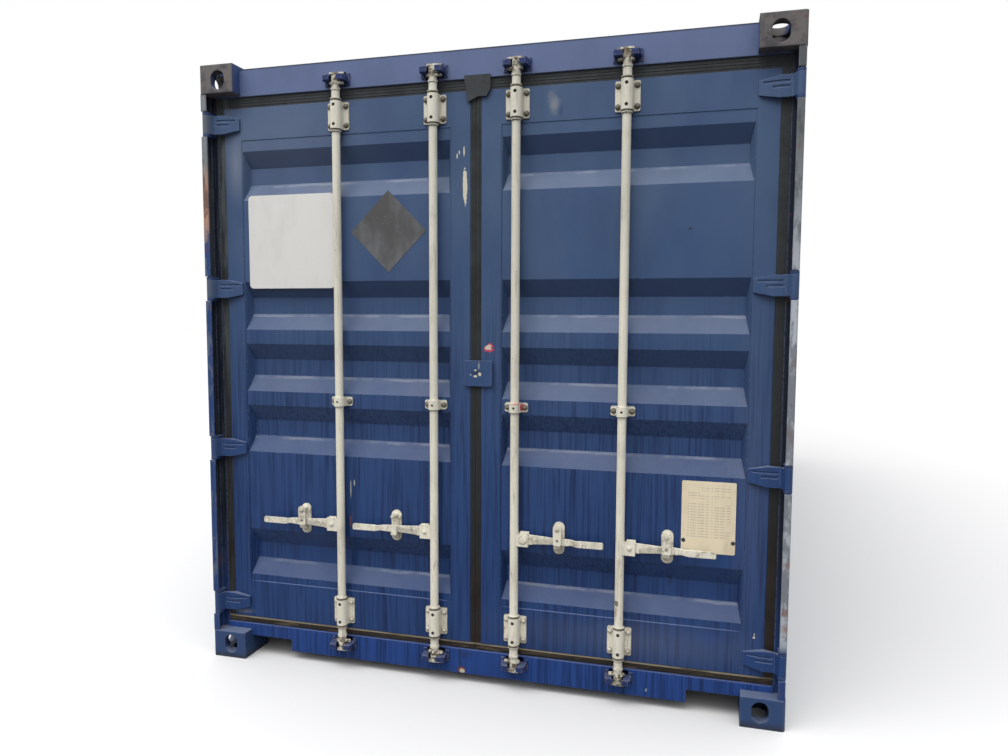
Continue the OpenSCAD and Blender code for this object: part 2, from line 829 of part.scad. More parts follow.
// The hollow of a corrugation with sloped ends, grown by the sheet's thickness or not
module pan(z, grow) {
    face = panel_face + grow;
    front = grow > 0 ? face - sheet_t / 2 : face - cut;
    low_x = panel_in_x + pan_flat - grow;
    high_x = panel_out_x - pan_flat + grow;
    intersection() {
        across(panel_in_x, panel_out_x) polygon([
            [front, z - pan_half], [face, z - pan_half], [face + panel_depth, z - panel_inner / 2],
            [face + panel_depth, z + panel_inner / 2], [face, z + pan_half], [front, z + pan_half]
        ]);
        translate([0, deep(0), z - pan_half - cut]) linear_extrude(2 * (pan_half + cut)) polygon([
            [low_x, front], [low_x, face], [low_x + pan_slope, face + panel_depth],
            [high_x - pan_slope, face + panel_depth], [high_x, face], [high_x, front]
        ]);
    }
}

// The corrugated panel of the door on the right
module door_panel() {
    difference() {
        union() {
            box([panel_in_x, deep(panel_face), panel_low_z],
                [panel_out_x, deep(panel_face + sheet_t), panel_top_z]);
            for (z = pans) pan(z, sheet_t);
        }
        for (z = pans) pan(z, 0);
    }
}

// The gasket of the door on the right, seen from the front, at a share of its full reach
module seal_ring(share, grow) {
    side = share * (edge_gap - gasket_gap) + grow;
    middle = share * (centre_gap - gasket_gap) + grow;
    top = share * (top_gap - gasket_gap) + grow;
    low = share * (low_gap - gasket_gap) + grow;
    translate([leaf_in_x - middle, leaf_low_z - low])
        square([leaf_out_x - leaf_in_x + side + middle, leaf_top_z - leaf_low_z + top + low]);
}

// The rubber seal of the door on the right: a stem round the steel edge, two lips and three ribs
module gasket() {
    lip = door_in + rib_h;
    for (v = [lip, lip + gasket_d - gasket_t])
        upright_plate(v, v + gasket_t) difference() {
            seal_ring(1, 0);
            leaf_outline(0);
        }
    upright_plate(lip, lip + gasket_d) difference() {
        leaf_outline(gasket_t);
        leaf_outline(0);
    }
    for (share = [0.25, 0.5, 0.75])
        upright_plate(door_in, lip + cut) difference() {
            seal_ring(share, rib_w / 2);
            seal_ring(share, -rib_w / 2);
        }
}

// The flap at the seal's upper middle corner, which laps over the other door and the header
module seal_flap() {
    lap = 2 * centre_gap;
    over = 11;
    right = lap + 16;
    notch = 25;
    tip = 10;
    upright_plate(face_in - gasket_t, face_in) polygon([
        [-lap, head_low_z + over], [right, head_low_z + over], [right, leaf_top_z],
        [lap, leaf_top_z - notch], [tip, leaf_top_z - notch],
        [-tip - centre_gap, leaf_top_z - lap]
    ]);
    upright_plate(face_in - cut, door_in + gasket_t) translate([gasket_gap, leaf_top_z + gasket_t])
        square([lap - gasket_gap, top_gap - 2 * gasket_t]);
}

// A groove in the outer face of a blade, along a share of its taper
module blade_groove(low, high, share) {
    bend = pin_x - leaf_out_x + 8;
    start = knuckle_r + 18;
    drop = door_in - blade_end_t - blade_front;
    translate([pin_x, deep(blade_front), low]) linear_extrude(high - low) polygon([
        [-start, -cut], [-start, 0], [-start - groove_d, groove_d], [-bend, groove_d],
        [-bend - share * (blade_reach - bend), share * drop + groove_d],
        [-bend - share * (blade_reach - bend), share * drop - cut], [-bend, -cut]
    ]);
}

// One hinge blade on the right, with its knuckle: it tapers towards the door
module hinge_blade() {
    groove_h = 8;
    rib = 4;
    long = 0.8;
    short = 0.35;
    difference() {
        blade_body(pin_x - leaf_out_x);
        blade_groove(blade_end_h / 2 - rib - groove_h, blade_end_h / 2 - rib, long);
        blade_groove(-groove_h / 2 - 1, groove_h / 2 - 1, short);
    }
}

// The blade without its grooves
module blade_body(edge) {
    intersection() {
        translate([0, deep(0), -blade_h / 2]) linear_extrude(blade_h) difference() {
            union() {
                translate([pin_x, pin_in]) circle(r = knuckle_r);
                polygon([
                    [pin_x - knuckle_r * 0.8, pin_in - knuckle_r * 0.6],
                    [pin_x - knuckle_r - 11, blade_front], [pin_x - edge - 8, blade_front],
                    [pin_x - blade_reach, door_in - blade_end_t], [pin_x - blade_reach, door_in],
                    [pin_x - edge, door_in], [pin_x, pin_in + knuckle_r]
                ]);
            }
            translate([pin_x, pin_in]) circle(r = pin_d / 2 + pin_clear);
        }
        upright_plate(0, door_in + cut) polygon([
            [pin_x + knuckle_r, -blade_h / 2], [pin_x + knuckle_r, blade_h / 2],
            [pin_x - edge - 8, blade_h / 2], [pin_x - blade_reach, blade_end_h / 2],
            [pin_x - blade_reach, -blade_end_h / 2], [pin_x - edge - 8, -blade_h / 2]
        ]);
    }
}

module hinge_blades() {
    for (z = hinge_heights) translate([0, 0, z]) hinge_blade();
}

// A bracket round a bar, on the door face at the given depth, its foot at z = 0
module bar_bracket(h, face) {
    difference() {
        union() {
            upright_plate(face - flange_t, face) translate([0, h / 2])
                round_rect(bracket_w, h, 8);
            translate([0, deep(bar_in), 0]) cylinder(r = housing_r, h = h);
            box([-housing_r, deep(bar_in), 0], [housing_r, deep(face), h]);
        }
        translate([0, deep(bar_in), -cut]) cylinder(d = bar_d + 2 * bar_clear, h = h + 2 * cut);
        for (z = h > housing_hole_pitch ? [-1, 1] * housing_hole_pitch / 2 : [0])
            translate([0, deep(bar_in), h / 2 + z]) rotate([90, 0, 0])
                cylinder(d = housing_hole_d, h = housing_r + cut);
    }
}

module bar_brackets() {
    for (x = bars) {
        for (z = [bracket_low_z, bracket_top_z])
            translate([x, 0, z]) bar_bracket(bracket_h, door_in);
        translate([x, 0, guide_z - guide_h / 2]) bar_bracket(guide_h, panel_face);
    }
}

// A handle retainer: a plate with round ends, a rest and a boss under the handle, a stop and the
// hasp's post
module handle_retainer() {
    rest_top = handle_z - handle_mid_h / 2 - cheek_gap;
    rest = 13;
    stop = [10, 8, 12];
    boss_t = 9;
    upright_plate(panel_face - retainer_t, panel_face)
        translate([0, handle_z + retainer_up]) slot(retainer_w, retainer_h);
    box([-rest, deep(handle_front - 2), rest_top - rest],
        [rest, deep(panel_face - retainer_t), rest_top]);
    translate([0, deep(panel_face - retainer_t), handle_z - boss_drop]) rotate([90, 0, 0])
        cylinder(d = boss_d, h = boss_t);
    translate([-retainer_w / 2, deep(panel_face - retainer_t) - stop.y, hasp_z - stop.z])
        cube(stop);
    translate([0, deep(panel_face - retainer_t), hasp_z]) rotate([90, 0, 0])
        cylinder(d = 18, h = panel_face - retainer_t - hasp_front - hasp_t - cheek_gap);
    translate([0, deep(panel_face - retainer_t), hasp_z]) rotate([90, 0, 0])
        cylinder(d = hasp_pin_d, h = panel_face - retainer_t - hasp_front + 1);
}

module handle_retainers() {
    for (x = bars) translate([x + retainer_from_bar, 0, 0]) handle_retainer();
}

// The plate on the right door that laps over the left one
module centre_plate() {
    color("steelblue") union() {
        upright_plate(door_in - 12, door_in - 6)
            translate([(overlap_right - overlap_left) / 2, overlap_z])
                round_rect(overlap_left + overlap_right, overlap_h, 8);
        upright_plate(door_in - 7, door_in)
            translate([leaf_in_x + 8, overlap_z - overlap_h / 2 + 8])
                square([overlap_right - leaf_in_x - 8, overlap_h - 16]);
    }
}

// The outline of a cam's plate: a narrowing arm on one side and a broad lobe on the other
module cam_outline() {
    lobe_x = lobe_reach - lobe_w / 2;
    tip_x = arm_tip_w / 2 - cam_reach;
    polygon([
        [lobe_x, -lobe_w / 2], [lobe_x, lobe_w / 2], [0, lobe_w / 2], [tip_x, arm_tip_w / 2],
        [tip_x, -arm_tip_w / 2], [0, -lobe_w / 2]
    ]);
    translate([lobe_x, 0]) circle(d = lobe_w);
    translate([tip_x, 0]) circle(d = arm_tip_w);
}

// A cam on the bar's axis: two pronged plates that grip the keeper, joined by a narrow core
module cam() {
    translate([0, 0, -cam_h / 2]) linear_extrude(cam_h)
        rotate(90) slot(core_d, core_w);
    for (z = [-cam_h / 2, cam_h / 2 - prong_t])
        translate([0, 0, z]) linear_extrude(prong_t) cam_outline();
}

// A locking bar with its cams, rings, collars and hub, drawn for a handle that points to +X
module locking_bar(x) {
    notch = 8;
    translate([x, deep(bar_in), 0]) {
        translate([0, 0, cam_low_z]) cylinder(d = bar_d, h = cam_top_z - cam_low_z);
        for (z = [cam_low_z, cam_top_z]) translate([0, 0, z]) cam();
        for (z = [bracket_low_z, bracket_top_z]) {
            translate([0, 0, z - ring_gap - ring_h]) cylinder(r = ring_r, h = ring_h);
            translate([0, 0, z + bracket_h + ring_gap]) cylinder(r = ring_r, h = ring_h);
        }
        for (z = [cam_low_z + collar_from_cam, cam_top_z - collar_from_cam])
            translate([0, 0, z - collar_h / 2]) cylinder(r = collar_r, h = collar_h);
    }
    for (v = [hub_in, bar_in + handle_t / 2 + cheek_gap])
        difference() {
            box([x, deep(v), handle_z - hub_h / 2],
                [x + hub_reach, deep(v + cheek_t), handle_z + hub_h / 2]);
            box([x + bar_d / 2, deep(v - cut), handle_z + hub_h / 2 - notch],
                [x + bar_d / 2 + notch, deep(v + cheek_t + cut), handle_z + hub_h]);
        }
    translate([x + rivet_from_bar, deep(2 * bar_in - hub_in), handle_z]) rotate([90, 0, 0])
        cylinder(d = rivet_d, h = 2 * (bar_in - hub_in));
}

// One side of a handle's silhouette in [distance from the bar's axis, half height]
function handle_edge(s, grip) = [
    [0, s * handle_h / 2], [hub_reach + 8, s * handle_h / 2],
    [retainer_from_bar - 24, s * handle_mid_h / 2], [retainer_from_bar + 24, s * handle_mid_h / 2],
    [grip - 5, s * waist_h / 2], [grip + 14, s * grip_h / 2],
    [handle_reach - 4, s * grip_h / 2], [handle_reach, s * (grip_h / 2 - 4)]
];

// A handle on its bar: a flat shank in the hub, a fold in its face and a grip set forward
module handle(x) {
    grip = 250;
    step = 12;
    top = handle_edge(1, grip);
    fold_l = 92;
    fold_turn = 6;
    fold_tilt = 12;
    translate([x, 0, handle_z]) difference() {
        intersection() {
            translate([0, deep(0), -handle_h / 2]) linear_extrude(handle_h) polygon([
                [bar_d / 2 + 3, handle_front], [grip - 16, handle_front],
                [grip, handle_front - step], [handle_reach, handle_front - step],
                [handle_reach, handle_front - step + handle_t - 2],
                [grip + 4, handle_front - step + handle_t - 2],
                [grip - 12, handle_front + handle_t], [bar_d / 2 + 3, handle_front + handle_t]
            ]);
            upright_plate(0, door_in) polygon(concat(
                handle_edge(-1, grip),
                [for (i = [len(top) - 1:-1:0]) top[i]]
            ));
        }
        translate([rivet_from_bar, deep(bar_in) + handle_t, 0]) rotate([90, 0, 0])
            cylinder(d = rivet_d + 2 * pin_clear, h = 2 * handle_t);
        translate([hub_reach + 14, deep(handle_front), 2])
            rotate([0, -fold_turn, 0]) rotate([fold_tilt, 0, 0])
                translate([0, -handle_t, -handle_h]) cube([fold_l, handle_t, handle_h]);
    }
}

// A hasp that hangs from its post over the handle, with a hole for a seal
module hasp(x) {
    foot = hasp_z - hasp_l;
    half = hasp_w / 2;
    translate([x + retainer_from_bar, 0, 0]) difference() {
        union() {
            upright_plate(hasp_front, hasp_front + hasp_t) translate([0, hasp_z]) circle(r = half);
            upright_plate(hasp_front, hasp_front + hasp_t) polygon([
                [-half, hasp_z], [half, hasp_z], [half, foot + 6], [half - 6, foot],
                [6 - half, foot], [-half, foot + 6]
            ]);
        }
        upright_plate(hasp_front - cut, hasp_front + hasp_t + cut) {
            translate([0, hasp_z]) circle(d = hasp_pin_d + 2 * pin_clear);
            translate([0, foot + 20]) circle(d = seal_hole_d);
        }
    }
}

module left_door_frame() {
    color("steelblue") mirror([1, 0, 0]) door_frame();
}

module left_door_panel() {
    color("steelblue") mirror([1, 0, 0]) door_panel();
}

module left_gasket() {
    color("dimgray") mirror([1, 0, 0]) gasket();
}

module left_hinge_blades() {
    color("slateblue") mirror([1, 0, 0]) hinge_blades();
}

module left_bar_brackets() {
    color("beige") mirror([1, 0, 0]) bar_brackets();
}

module left_handle_retainers() {
    color("beige") mirror([1, 0, 0]) handle_retainers();
}

module right_door_frame() {
    color("steelblue") door_frame();
}

module right_door_panel() {
    color("steelblue") door_panel();
}

module right_gasket() {
    color("dimgray") {
        gasket();
        seal_flap();
    }
}

module right_hinge_blades() {
    color("slateblue") hinge_blades();
}

module right_bar_brackets() {
    color("beige") bar_brackets();
}

module right_handle_retainers() {
    color("beige") handle_retainers();
}

module locking_bar_1() {
    color("beige") mirror([1, 0, 0]) locking_bar(bar_far);
}

module locking_bar_2() {
    color("beige") mirror([1, 0, 0]) locking_bar(bar_near);
}

module locking_bar_3() {
    color("beige") locking_bar(bar_near);
}

module locking_bar_4() {
    color("beige") locking_bar(bar_far);
}

module handle_1() {
    color("beige") mirror([1, 0, 0]) handle(bar_far);
}

module handle_2() {
    color("beige") mirror([1, 0, 0]) handle(bar_near);
}

module handle_3() {
    color("beige") handle(bar_near);
}

module handle_4() {
    color("beige") handle(bar_far);
}

module hasp_1() {
    color("beige") mirror([1, 0, 0]) hasp(bar_far);
}

module hasp_3() {
    color("beige") hasp(bar_near);
}

module hasp_4() {
    color("beige") hasp(bar_far);
}

top_corner_castings();
bottom_corner_castings();
door_end_posts();
front_end_posts();
door_header();
door_sill();
front_top_rail();
front_bottom_rail();
top_side_rails();
bottom_side_rails();
cross_members();
fork_pockets();
floor_panel();
left_wall();
right_wall();
front_wall();
roof_panel();
roof_corner_plates();
side_vents();
cam_keepers();
hinge_lugs();
hinge_pins();
left_door_frame();
left_door_panel();
left_gasket();
left_hinge_blades();
left_bar_brackets();
left_handle_retainers();
right_door_frame();
right_door_panel();
right_gasket();
right_hinge_blades();
right_bar_brackets();
right_handle_retainers();
centre_plate();
locking_bar_1();
locking_bar_2();
locking_bar_3();
locking_bar_4();
handle_1();
handle_2();
handle_3();
handle_4();
hasp_1();
hasp_3();
hasp_4();
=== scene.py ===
"""Dresses a 20 ft freight container: worn blue paint, off-white door gear, ribbed rubber seals,
bare sign plates and small fasteners, in a pale studio with the camera at the door end."""

import json
import math
from functools import partial, reduce

import bpy
import numpy as np
from bpy.props import FloatProperty, FloatVectorProperty, PointerProperty
from mathutils import Matrix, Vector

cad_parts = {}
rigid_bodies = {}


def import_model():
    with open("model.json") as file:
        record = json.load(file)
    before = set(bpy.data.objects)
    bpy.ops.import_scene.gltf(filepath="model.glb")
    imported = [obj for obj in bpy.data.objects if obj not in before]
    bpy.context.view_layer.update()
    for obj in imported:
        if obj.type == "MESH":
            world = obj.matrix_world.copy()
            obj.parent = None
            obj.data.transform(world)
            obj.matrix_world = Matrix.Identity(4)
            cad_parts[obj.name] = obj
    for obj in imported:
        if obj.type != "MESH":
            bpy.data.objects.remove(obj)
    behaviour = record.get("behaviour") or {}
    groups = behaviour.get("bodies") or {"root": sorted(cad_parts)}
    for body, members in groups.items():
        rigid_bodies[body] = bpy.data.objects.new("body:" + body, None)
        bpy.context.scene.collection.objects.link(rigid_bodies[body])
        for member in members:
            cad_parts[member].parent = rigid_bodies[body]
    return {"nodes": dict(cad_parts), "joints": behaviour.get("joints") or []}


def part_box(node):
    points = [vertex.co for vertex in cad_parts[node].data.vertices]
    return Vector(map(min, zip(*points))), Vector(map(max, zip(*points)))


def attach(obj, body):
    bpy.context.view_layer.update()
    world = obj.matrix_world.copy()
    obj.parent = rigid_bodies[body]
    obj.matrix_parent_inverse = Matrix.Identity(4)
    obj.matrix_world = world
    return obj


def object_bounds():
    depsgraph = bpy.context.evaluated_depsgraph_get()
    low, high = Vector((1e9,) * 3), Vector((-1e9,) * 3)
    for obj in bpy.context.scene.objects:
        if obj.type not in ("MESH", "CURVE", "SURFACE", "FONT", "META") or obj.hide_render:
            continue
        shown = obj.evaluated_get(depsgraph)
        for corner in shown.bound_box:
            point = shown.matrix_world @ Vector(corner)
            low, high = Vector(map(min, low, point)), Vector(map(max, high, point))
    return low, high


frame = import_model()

bl_info = {
    "name": "Freight container finish",
    "version": (1, 0, 0),
    "blender": (4, 5, 0),
    "location": "View3D > Sidebar > Container",
    "description": "Paint, wear, seals, signs and fasteners for a 20 ft container",
    "category": "Object",
}

CAD_LOW, CAD_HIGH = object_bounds()
FACE_Y = CAD_LOW.y          # the door castings' faces; depths behind them are added to it
BARS = {j["child"]: j for j in frame["joints"] if j["child"].startswith("bar_")}


# Settings


def from_screen(red, green, blue):
    """A colour of 0 to 255 display values as linear light: the display curve undone."""
    values = np.array([red, green, blue]) / 255.0
    linear = np.where(values <= 0.04045, values / 12.92, ((values + 0.055) / 1.055) ** 2.4)
    return tuple(float(v) for v in linear)


def toned(shade, factor):
    """A colour made lighter or darker."""
    return tuple(factor * part for part in shade)


def colour(title, told, *screen):
    """A colour setting with its default given in display values."""
    return FloatVectorProperty(
        name=title, description=told, subtype="COLOR", size=3, min=0, max=1,
        default=from_screen(*screen))


def length(title, told, default):
    """A length setting in metres."""
    return FloatProperty(
        name=title, description=told, subtype="DISTANCE", unit="LENGTH", default=default,
        precision=4)


def share(title, told, default):
    """A setting from 0 to 1."""
    return FloatProperty(
        name=title, description=told, subtype="FACTOR", min=0, max=1, default=default)


def spot(title, told, *default):
    """A place on the doors: X and Z in metres."""
    return FloatVectorProperty(
        name=title, description=told, subtype="XYZ", unit="LENGTH", size=2, default=default)


def angle(title, told, degrees):
    """An angle setting with its default given in degrees."""
    return FloatProperty(
        name=title, description=told, subtype="ANGLE", default=math.radians(degrees))


def strength(title, told, default, **more):
    """A setting from 0 upward."""
    return FloatProperty(name=title, description=told, min=0, default=default, **more)


class ContainerPaint(bpy.types.PropertyGroup):
    """Colours of the paint, the rubber and what shows through where they are worn."""

    door_blue: colour("Door blue", "Paint of the doors", 39, 66, 115)
    # Paler paint high up: chalked paint and a painted sky reflection.
    door_chalk_and_sheen: colour("Faded door blue", "Chalked paint high on the doors", 71, 91, 121)
    header_blue: colour("Header blue", "Paint of the header", 94, 107, 143)
    sill_blue: colour("Sill blue", "Paint of the sill", 39, 71, 136)
    low_casting: colour("Low casting blue", "Dusty paint of the bottom castings", 52, 74, 114)
    keeper_blue: colour("Keeper blue", "Fresh paint of the cam keepers", 39, 54, 100)
    weld_blue: colour("Weld blue", "Paint on the weld beads", 84, 104, 150)
    wall_blue: colour("Wall blue", "Paint of the walls, rails and roof", 41, 67, 117)
    # Also the painted shade on the door slopes that look down.
    streak_and_shade_blue: colour("Streak blue", "Paint under the water streaks", 14, 30, 70)
    # Rubbed paint, and also painted highlight along the edges.
    pale_edge_and_highlight: colour("Pale edges", "Paint rubbed thin along the edges", 128, 140, 172)
    casting_grey: colour("Casting grey", "Rubbed faces of the corner castings", 106, 101, 100)
    casting_dark: colour("Casting shade", "Paint and dirt left on the corner castings", 52, 53, 62)
    post_grey: colour("Post grey", "Outer post where its paint is rubbed", 100, 104, 106)
    post_silver: colour("Post silver", "Outer post where it is bare", 176, 182, 192)
    post_salmon: colour("Post primer", "Primer that shows on the left post", 178, 138, 114)
    gear_low: colour("Gear coat, low", "Coating of the bars near the ground", 242, 237, 220)
    # Greyer coat high up: dirt and painted shade.
    gear_high_dirt_and_shade: colour("Gear coat, high", "Coating of the bars near the header", 208, 205, 192)
    gear_dirt: colour("Gear dirt", "Grime on the bars and brackets", 112, 98, 78)
    red_spray: colour("Red spray", "The spot on the third bar's guide", 214, 66, 84)
    bolt_steel: colour("Bolt steel", "Heads of bolts and rivets", 116, 110, 98)
    rubber_black: colour("Seal rubber", "Rubber of the door seals", 38, 40, 42)
    rubber_dust: colour("Seal dust", "Dust held by the seals", 66, 70, 73)
    rubber_mud: colour("Seal mud", "Mud on the seals near the sill", 40, 32, 27)
    touch_up: colour("Touch-up", "A patch of newer paint low on the right door", 40, 66, 134)
    seal_line: colour("Seal line", "Dry dust on the lip above the sill", 158, 148, 126)
    rust: colour("Rust", "Rust where the paint is gone", 118, 66, 42)
    primer: colour("Primer", "Primer and bare metal in scrapes", 206, 200, 180)
    # Dirt, and also painted shade in the post channels and about the housings' holes.
    grime_and_shade: colour("Grime", "Dirt in the corners of the posts", 24, 27, 33)
    # Dust colour, also painted sheen on faces that look up and along the door bends.
    dust: colour("Dust", "Dust on faces that look up", 150, 154, 164)
    base_coat: colour("Base coat", "Coating under the floor", 38, 38, 40)
    plywood: colour("Plywood", "Floor boards", 128, 104, 80)
    streaks: share("Streaks", "Strength of the water streaks", 0.8)
    edge_wear: share("Edge wear", "How far the edges are rubbed", 0.6)
    bends: FloatVectorProperty(
        name="Bends", description="Heights of the lower inner bends of the door panels",
        size=5, unit="LENGTH", default=(0.441, 0.999, 1.269, 1.539, 2.097))


class ContainerSigns(bpy.types.PropertyGroup):
    """Places and sizes of the bare sign plates."""

    white_low: spot("White sheet, low corner", "X and Z of its low left corner", -1.033, 1.649)
    white_high: spot("White sheet, high corner", "X and Z of its high right corner", -0.625, 2.047)
    diamond_at: spot("Diamond", "X and Z of its middle", -0.380, 1.880)
    diamond_reach: length("Diamond reach", "Middle to tip", 0.168)
    plate_low: spot("Data plate, low corner", "X and Z of its low left corner", 0.8255, 0.634)
    plate_high: spot("Data plate, high corner", "X and Z of its high right corner", 1.0255, 0.911)
    white: colour("White", "The white sheet", 218, 217, 214)
    grey: colour("Diamond grey", "The diamond", 62, 62, 62)
    cream: colour("Plate cream", "The data plate", 234, 220, 191)


class ContainerGear(bpy.types.PropertyGroup):
    """Sizes of bolts, rivets and weld beads."""

    bolt_radius: length("Bolt head", "Radius of a bracket bolt's head", 0.0085)
    bolt_height: length("Bolt height", "How far a bracket bolt stands out", 0.010)
    bolt_side: length("Bolt side", "Bracket bolts from the bar's axis", 0.036)
    bracket_low: length("Low bracket", "Height of the low brackets' middle", 0.255)
    bracket_high: length("High bracket", "Height of the high brackets' middle", 2.355)
    bore_rise: length("Bore rise", "From a bracket's middle to its housing's holes", 0.039)
    bracket_bolts: length("Bolt spacing", "Upright distance between a bracket's bolts", 0.077)
    bracket_face: length("Bracket face", "Depth of the bracket flanges", 0.056)
    guide_at: length("Middle guide", "Height of the middle guides", 1.169)
    guide_face: length("Guide face", "Depth of the middle guides' flanges", 0.058)
    rivet_radius: length("Rivet", "Radius of a handle rivet's head", 0.009)
    disc_radius: length("Rivet disc", "Radius of the low disc that the third bar has", 0.018)
    rivet_at: length("Rivet place", "Handle rivets from the bar's axis", 0.0385)
    hub_face: length("Hub face", "Depth of the hub's front", 0.0207)
    retainer_at: length("Retainer", "Retainers from the bar's axis", 0.179)
    boss_at: length("Boss", "Height of the retainers' low bosses", 0.603)
    boss_face: length("Boss face", "Depth of the low bosses' fronts", 0.050)
    post_at: length("Hasp post", "Height of the hasps' posts", 0.694)
    post_face: length("Post face", "Depth of the hasp posts' fronts", 0.017)
    bead_radius: length("Weld bead", "Radius of a weld bead", 0.003)
    bead_pitch: length("Weld ripple", "Distance between the ripples of a bead", 0.012)
    panel_weld: length("Panel weld", "Height of the weld under the door panels", 0.340)
    casting_weld: length("Casting weld", "Welds beside the castings, from the middle", 1.0585)


class ContainerStage(bpy.types.PropertyGroup):
    """Camera, light and floor."""

    camera_at: FloatVectorProperty(
        name="Camera", description="Where the camera stands", size=3, subtype="TRANSLATION",
        unit="LENGTH", default=(0.9314, -5.9539, 1.5316))
    yaw: angle("Yaw", "Turn of the view to the right", -15.22)
    pitch: angle("Pitch", "Tilt of the view upwards", -4.55)
    roll: angle("Roll", "Turn about the line of sight", 0.23)
    lens: FloatProperty(
        name="Lens", description="Focal length for a 36 mm wide sensor",
        subtype="DISTANCE_CAMERA", default=27.589)
    floor_size: length("Floor", "Half of the floor's side", 60.0)
    pale: share("Pale", "Brightness of the floor to the eye", 0.66)
    ground: share("Ground light", "How much light the floor returns to the object", 0.05)
    sky: strength("Sky", "Strength of the sky", 1.05)
    horizon: strength("Horizon", "Brightness of the sky at the horizon", 0.34)
    zenith: strength("Zenith", "Brightness of the sky overhead", 2.0)
    key_power: strength("Key light", "Power of the large high lamp", 360, subtype="POWER")


# Shader building


class Weaver:
    """Adds nodes to one shader tree and joins them. Inputs are numbers, colours or sockets."""

    def __init__(self, tree):
        self.tree = tree

    def add(self, kind, inputs=None, **settings):
        """A node with its settings and inputs."""
        made = self.tree.nodes.new(kind)
        for key, value in settings.items():
            setattr(made, key, value)
        for key, value in (inputs or {}).items():
            self.join(value, made.inputs[key])
        return made

    def join(self, value, socket):
        """Links a socket, or writes a number or a colour."""
        if isinstance(value, bpy.types.NodeSocket):
            self.tree.links.new(value, socket)
        elif hasattr(value, "__len__") and len(value) == 3 and socket.type == "RGBA":
            socket.default_value = (*value, 1.0)
        else:
            socket.default_value = value

    def math(self, operation, first, second=0.0, clamp=False):
        """One step of arithmetic."""
        return self.add("ShaderNodeMath", {0: first, 1: second}, operation=operation,
                        use_clamp=clamp).outputs[0]

    def times(self, *values):
        """The product of its values."""
        return reduce(partial(self.math, "MULTIPLY"), values)

    def plus(self, first, second, clamp=False):
        """The sum of two values."""
        return self.math("ADD", first, second, clamp)

    def less(self, first, second, clamp=False):
        """The first value less the second."""
        return self.math("SUBTRACT", first, second, clamp)

    def most(self, *values):
        """The largest of its values."""
        return reduce(partial(self.math, "MAXIMUM"), values)

    def least_gap(self, value, marks):
        """The distance from a value to the nearest of several numbers."""
        gaps = (self.math("ABSOLUTE", self.less(value, mark)) for mark in marks)
        return reduce(partial(self.math, "MINIMUM"), gaps)

    def vectors(self, operation, first, second=(0, 0, 0)):
        """One step of vector arithmetic: its outputs."""
        return self.add("ShaderNodeVectorMath", {0: first, 1: second}, operation=operation).outputs

    def mix(self, factor, first, second):
        """Two colours mixed by a factor."""
        made = self.add("ShaderNodeMix", data_type="RGBA")
        colours = [s for s in made.inputs if s.type == "RGBA"]
        for value, socket in zip((factor, first, second), (made.inputs[0], *colours)):
            self.join(value, socket)
        return next(s for s in made.outputs if s.type == "RGBA")

    def lay(self, tint, shade, *masks):
        """A shade laid over a tint as far as the product of the masks goes."""
        return self.mix(self.times(*masks), tint, shade)

    def step(self, value, low, high, start=0.0, end=1.0):
        """A smooth step from start to end as value goes from low to high."""
        return self.add(
            "ShaderNodeMapRange", {0: value, 1: low, 2: high, 3: start, 4: end},
            interpolation_type="SMOOTHSTEP", clamp=True).outputs[0]

    def place(self, stretch=(1, 1, 1), shift=(0, 0, 0)):
        """Object coordinates, stretched and shifted."""
        here = self.add("ShaderNodeTexCoord").outputs["Object"]
        return self.add(
            "ShaderNodeMapping", {"Vector": here, "Scale": stretch, "Location": shift}).outputs[0]

    def noise(self, vector, scale, detail=3.0, rough=0.55):
        """Cloudy noise from 0 to 1."""
        return self.add("ShaderNodeTexNoise", {
            "Vector": vector, "Scale": scale, "Detail": detail, "Roughness": rough}).outputs[0]

    def clouds(self, scale, low, high, most=1.0, detail=3, rough=0.55, stretch=(1, 1, 1),
               shift=(0, 0, 0)):
        """Noise cut softly between low and high, which goes up to most."""
        return self.step(
            self.noise(self.place(stretch, shift), scale, detail, rough), low, high, 0.0, most)

    def split(self, vector):
        """X, Y and Z of a vector."""
        return tuple(self.add("ShaderNodeSeparateXYZ", {0: vector}).outputs)

    def here(self):
        """X, Y and Z of the shaded point."""
        return self.split(self.place())

    def facing(self):
        """X, Y and Z of the surface's normal."""
        return self.split(self.add("ShaderNodeNewGeometry").outputs["Normal"])

    def waver(self, reach, scale=8.0):
        """A shift to and fro by noise along X and Y."""
        cloud = self.noise(self.place((1, 1, 0.1)), scale, 3, 0.6)
        return self.times(self.less(cloud, 0.5), reach)

    def use(self, group, **inputs):
        """A shared node group, with its inputs by name."""
        made = self.add("ShaderNodeGroup", node_tree=bpy.data.node_groups[group])
        for key, value in inputs.items():
            self.join(value, made.inputs[key])
        return made.outputs

    def band(self, height, half, shift=0.0):
        """A level line, 1 within a half width of its height."""
        return self.use("Band", Height=height, Half=half, Shift=shift)["Mask"]


def build_streaks(w, given):
    """Upright streaks: noise drawn out along Z, cut by a slower noise, faded with height and
    thinned on faces that look up."""
    x, y, z = w.split(w.place((1, 1, 0.02)))
    waver = w.times(w.noise(w.place((1, 1, 0.6)), 3.0, 2), 0.02)
    lined = w.add("ShaderNodeCombineXYZ", {0: w.plus(x, waver), 1: y, 2: z}).outputs[0]
    fine = w.step(w.noise(lined, given["Per metre"], 3, 0.7), 0.44, 0.62, 0.0, 0.8)
    strong = w.step(w.noise(lined, w.times(given["Per metre"], 0.36), 3, 0.6), 0.60, 0.68)
    patch = w.clouds(4.5, 0.30, 0.52, stretch=(1, 1, 0.3), shift=(3, 0, 1))
    fade = w.step(w.here()[2], given["Clear above"], given["Full below"])
    upright = w.step(w.facing()[2], 0.4, 0.1, 0.25, 1.0)
    return {"Mask": w.times(w.most(fine, strong), patch, fade, upright)}


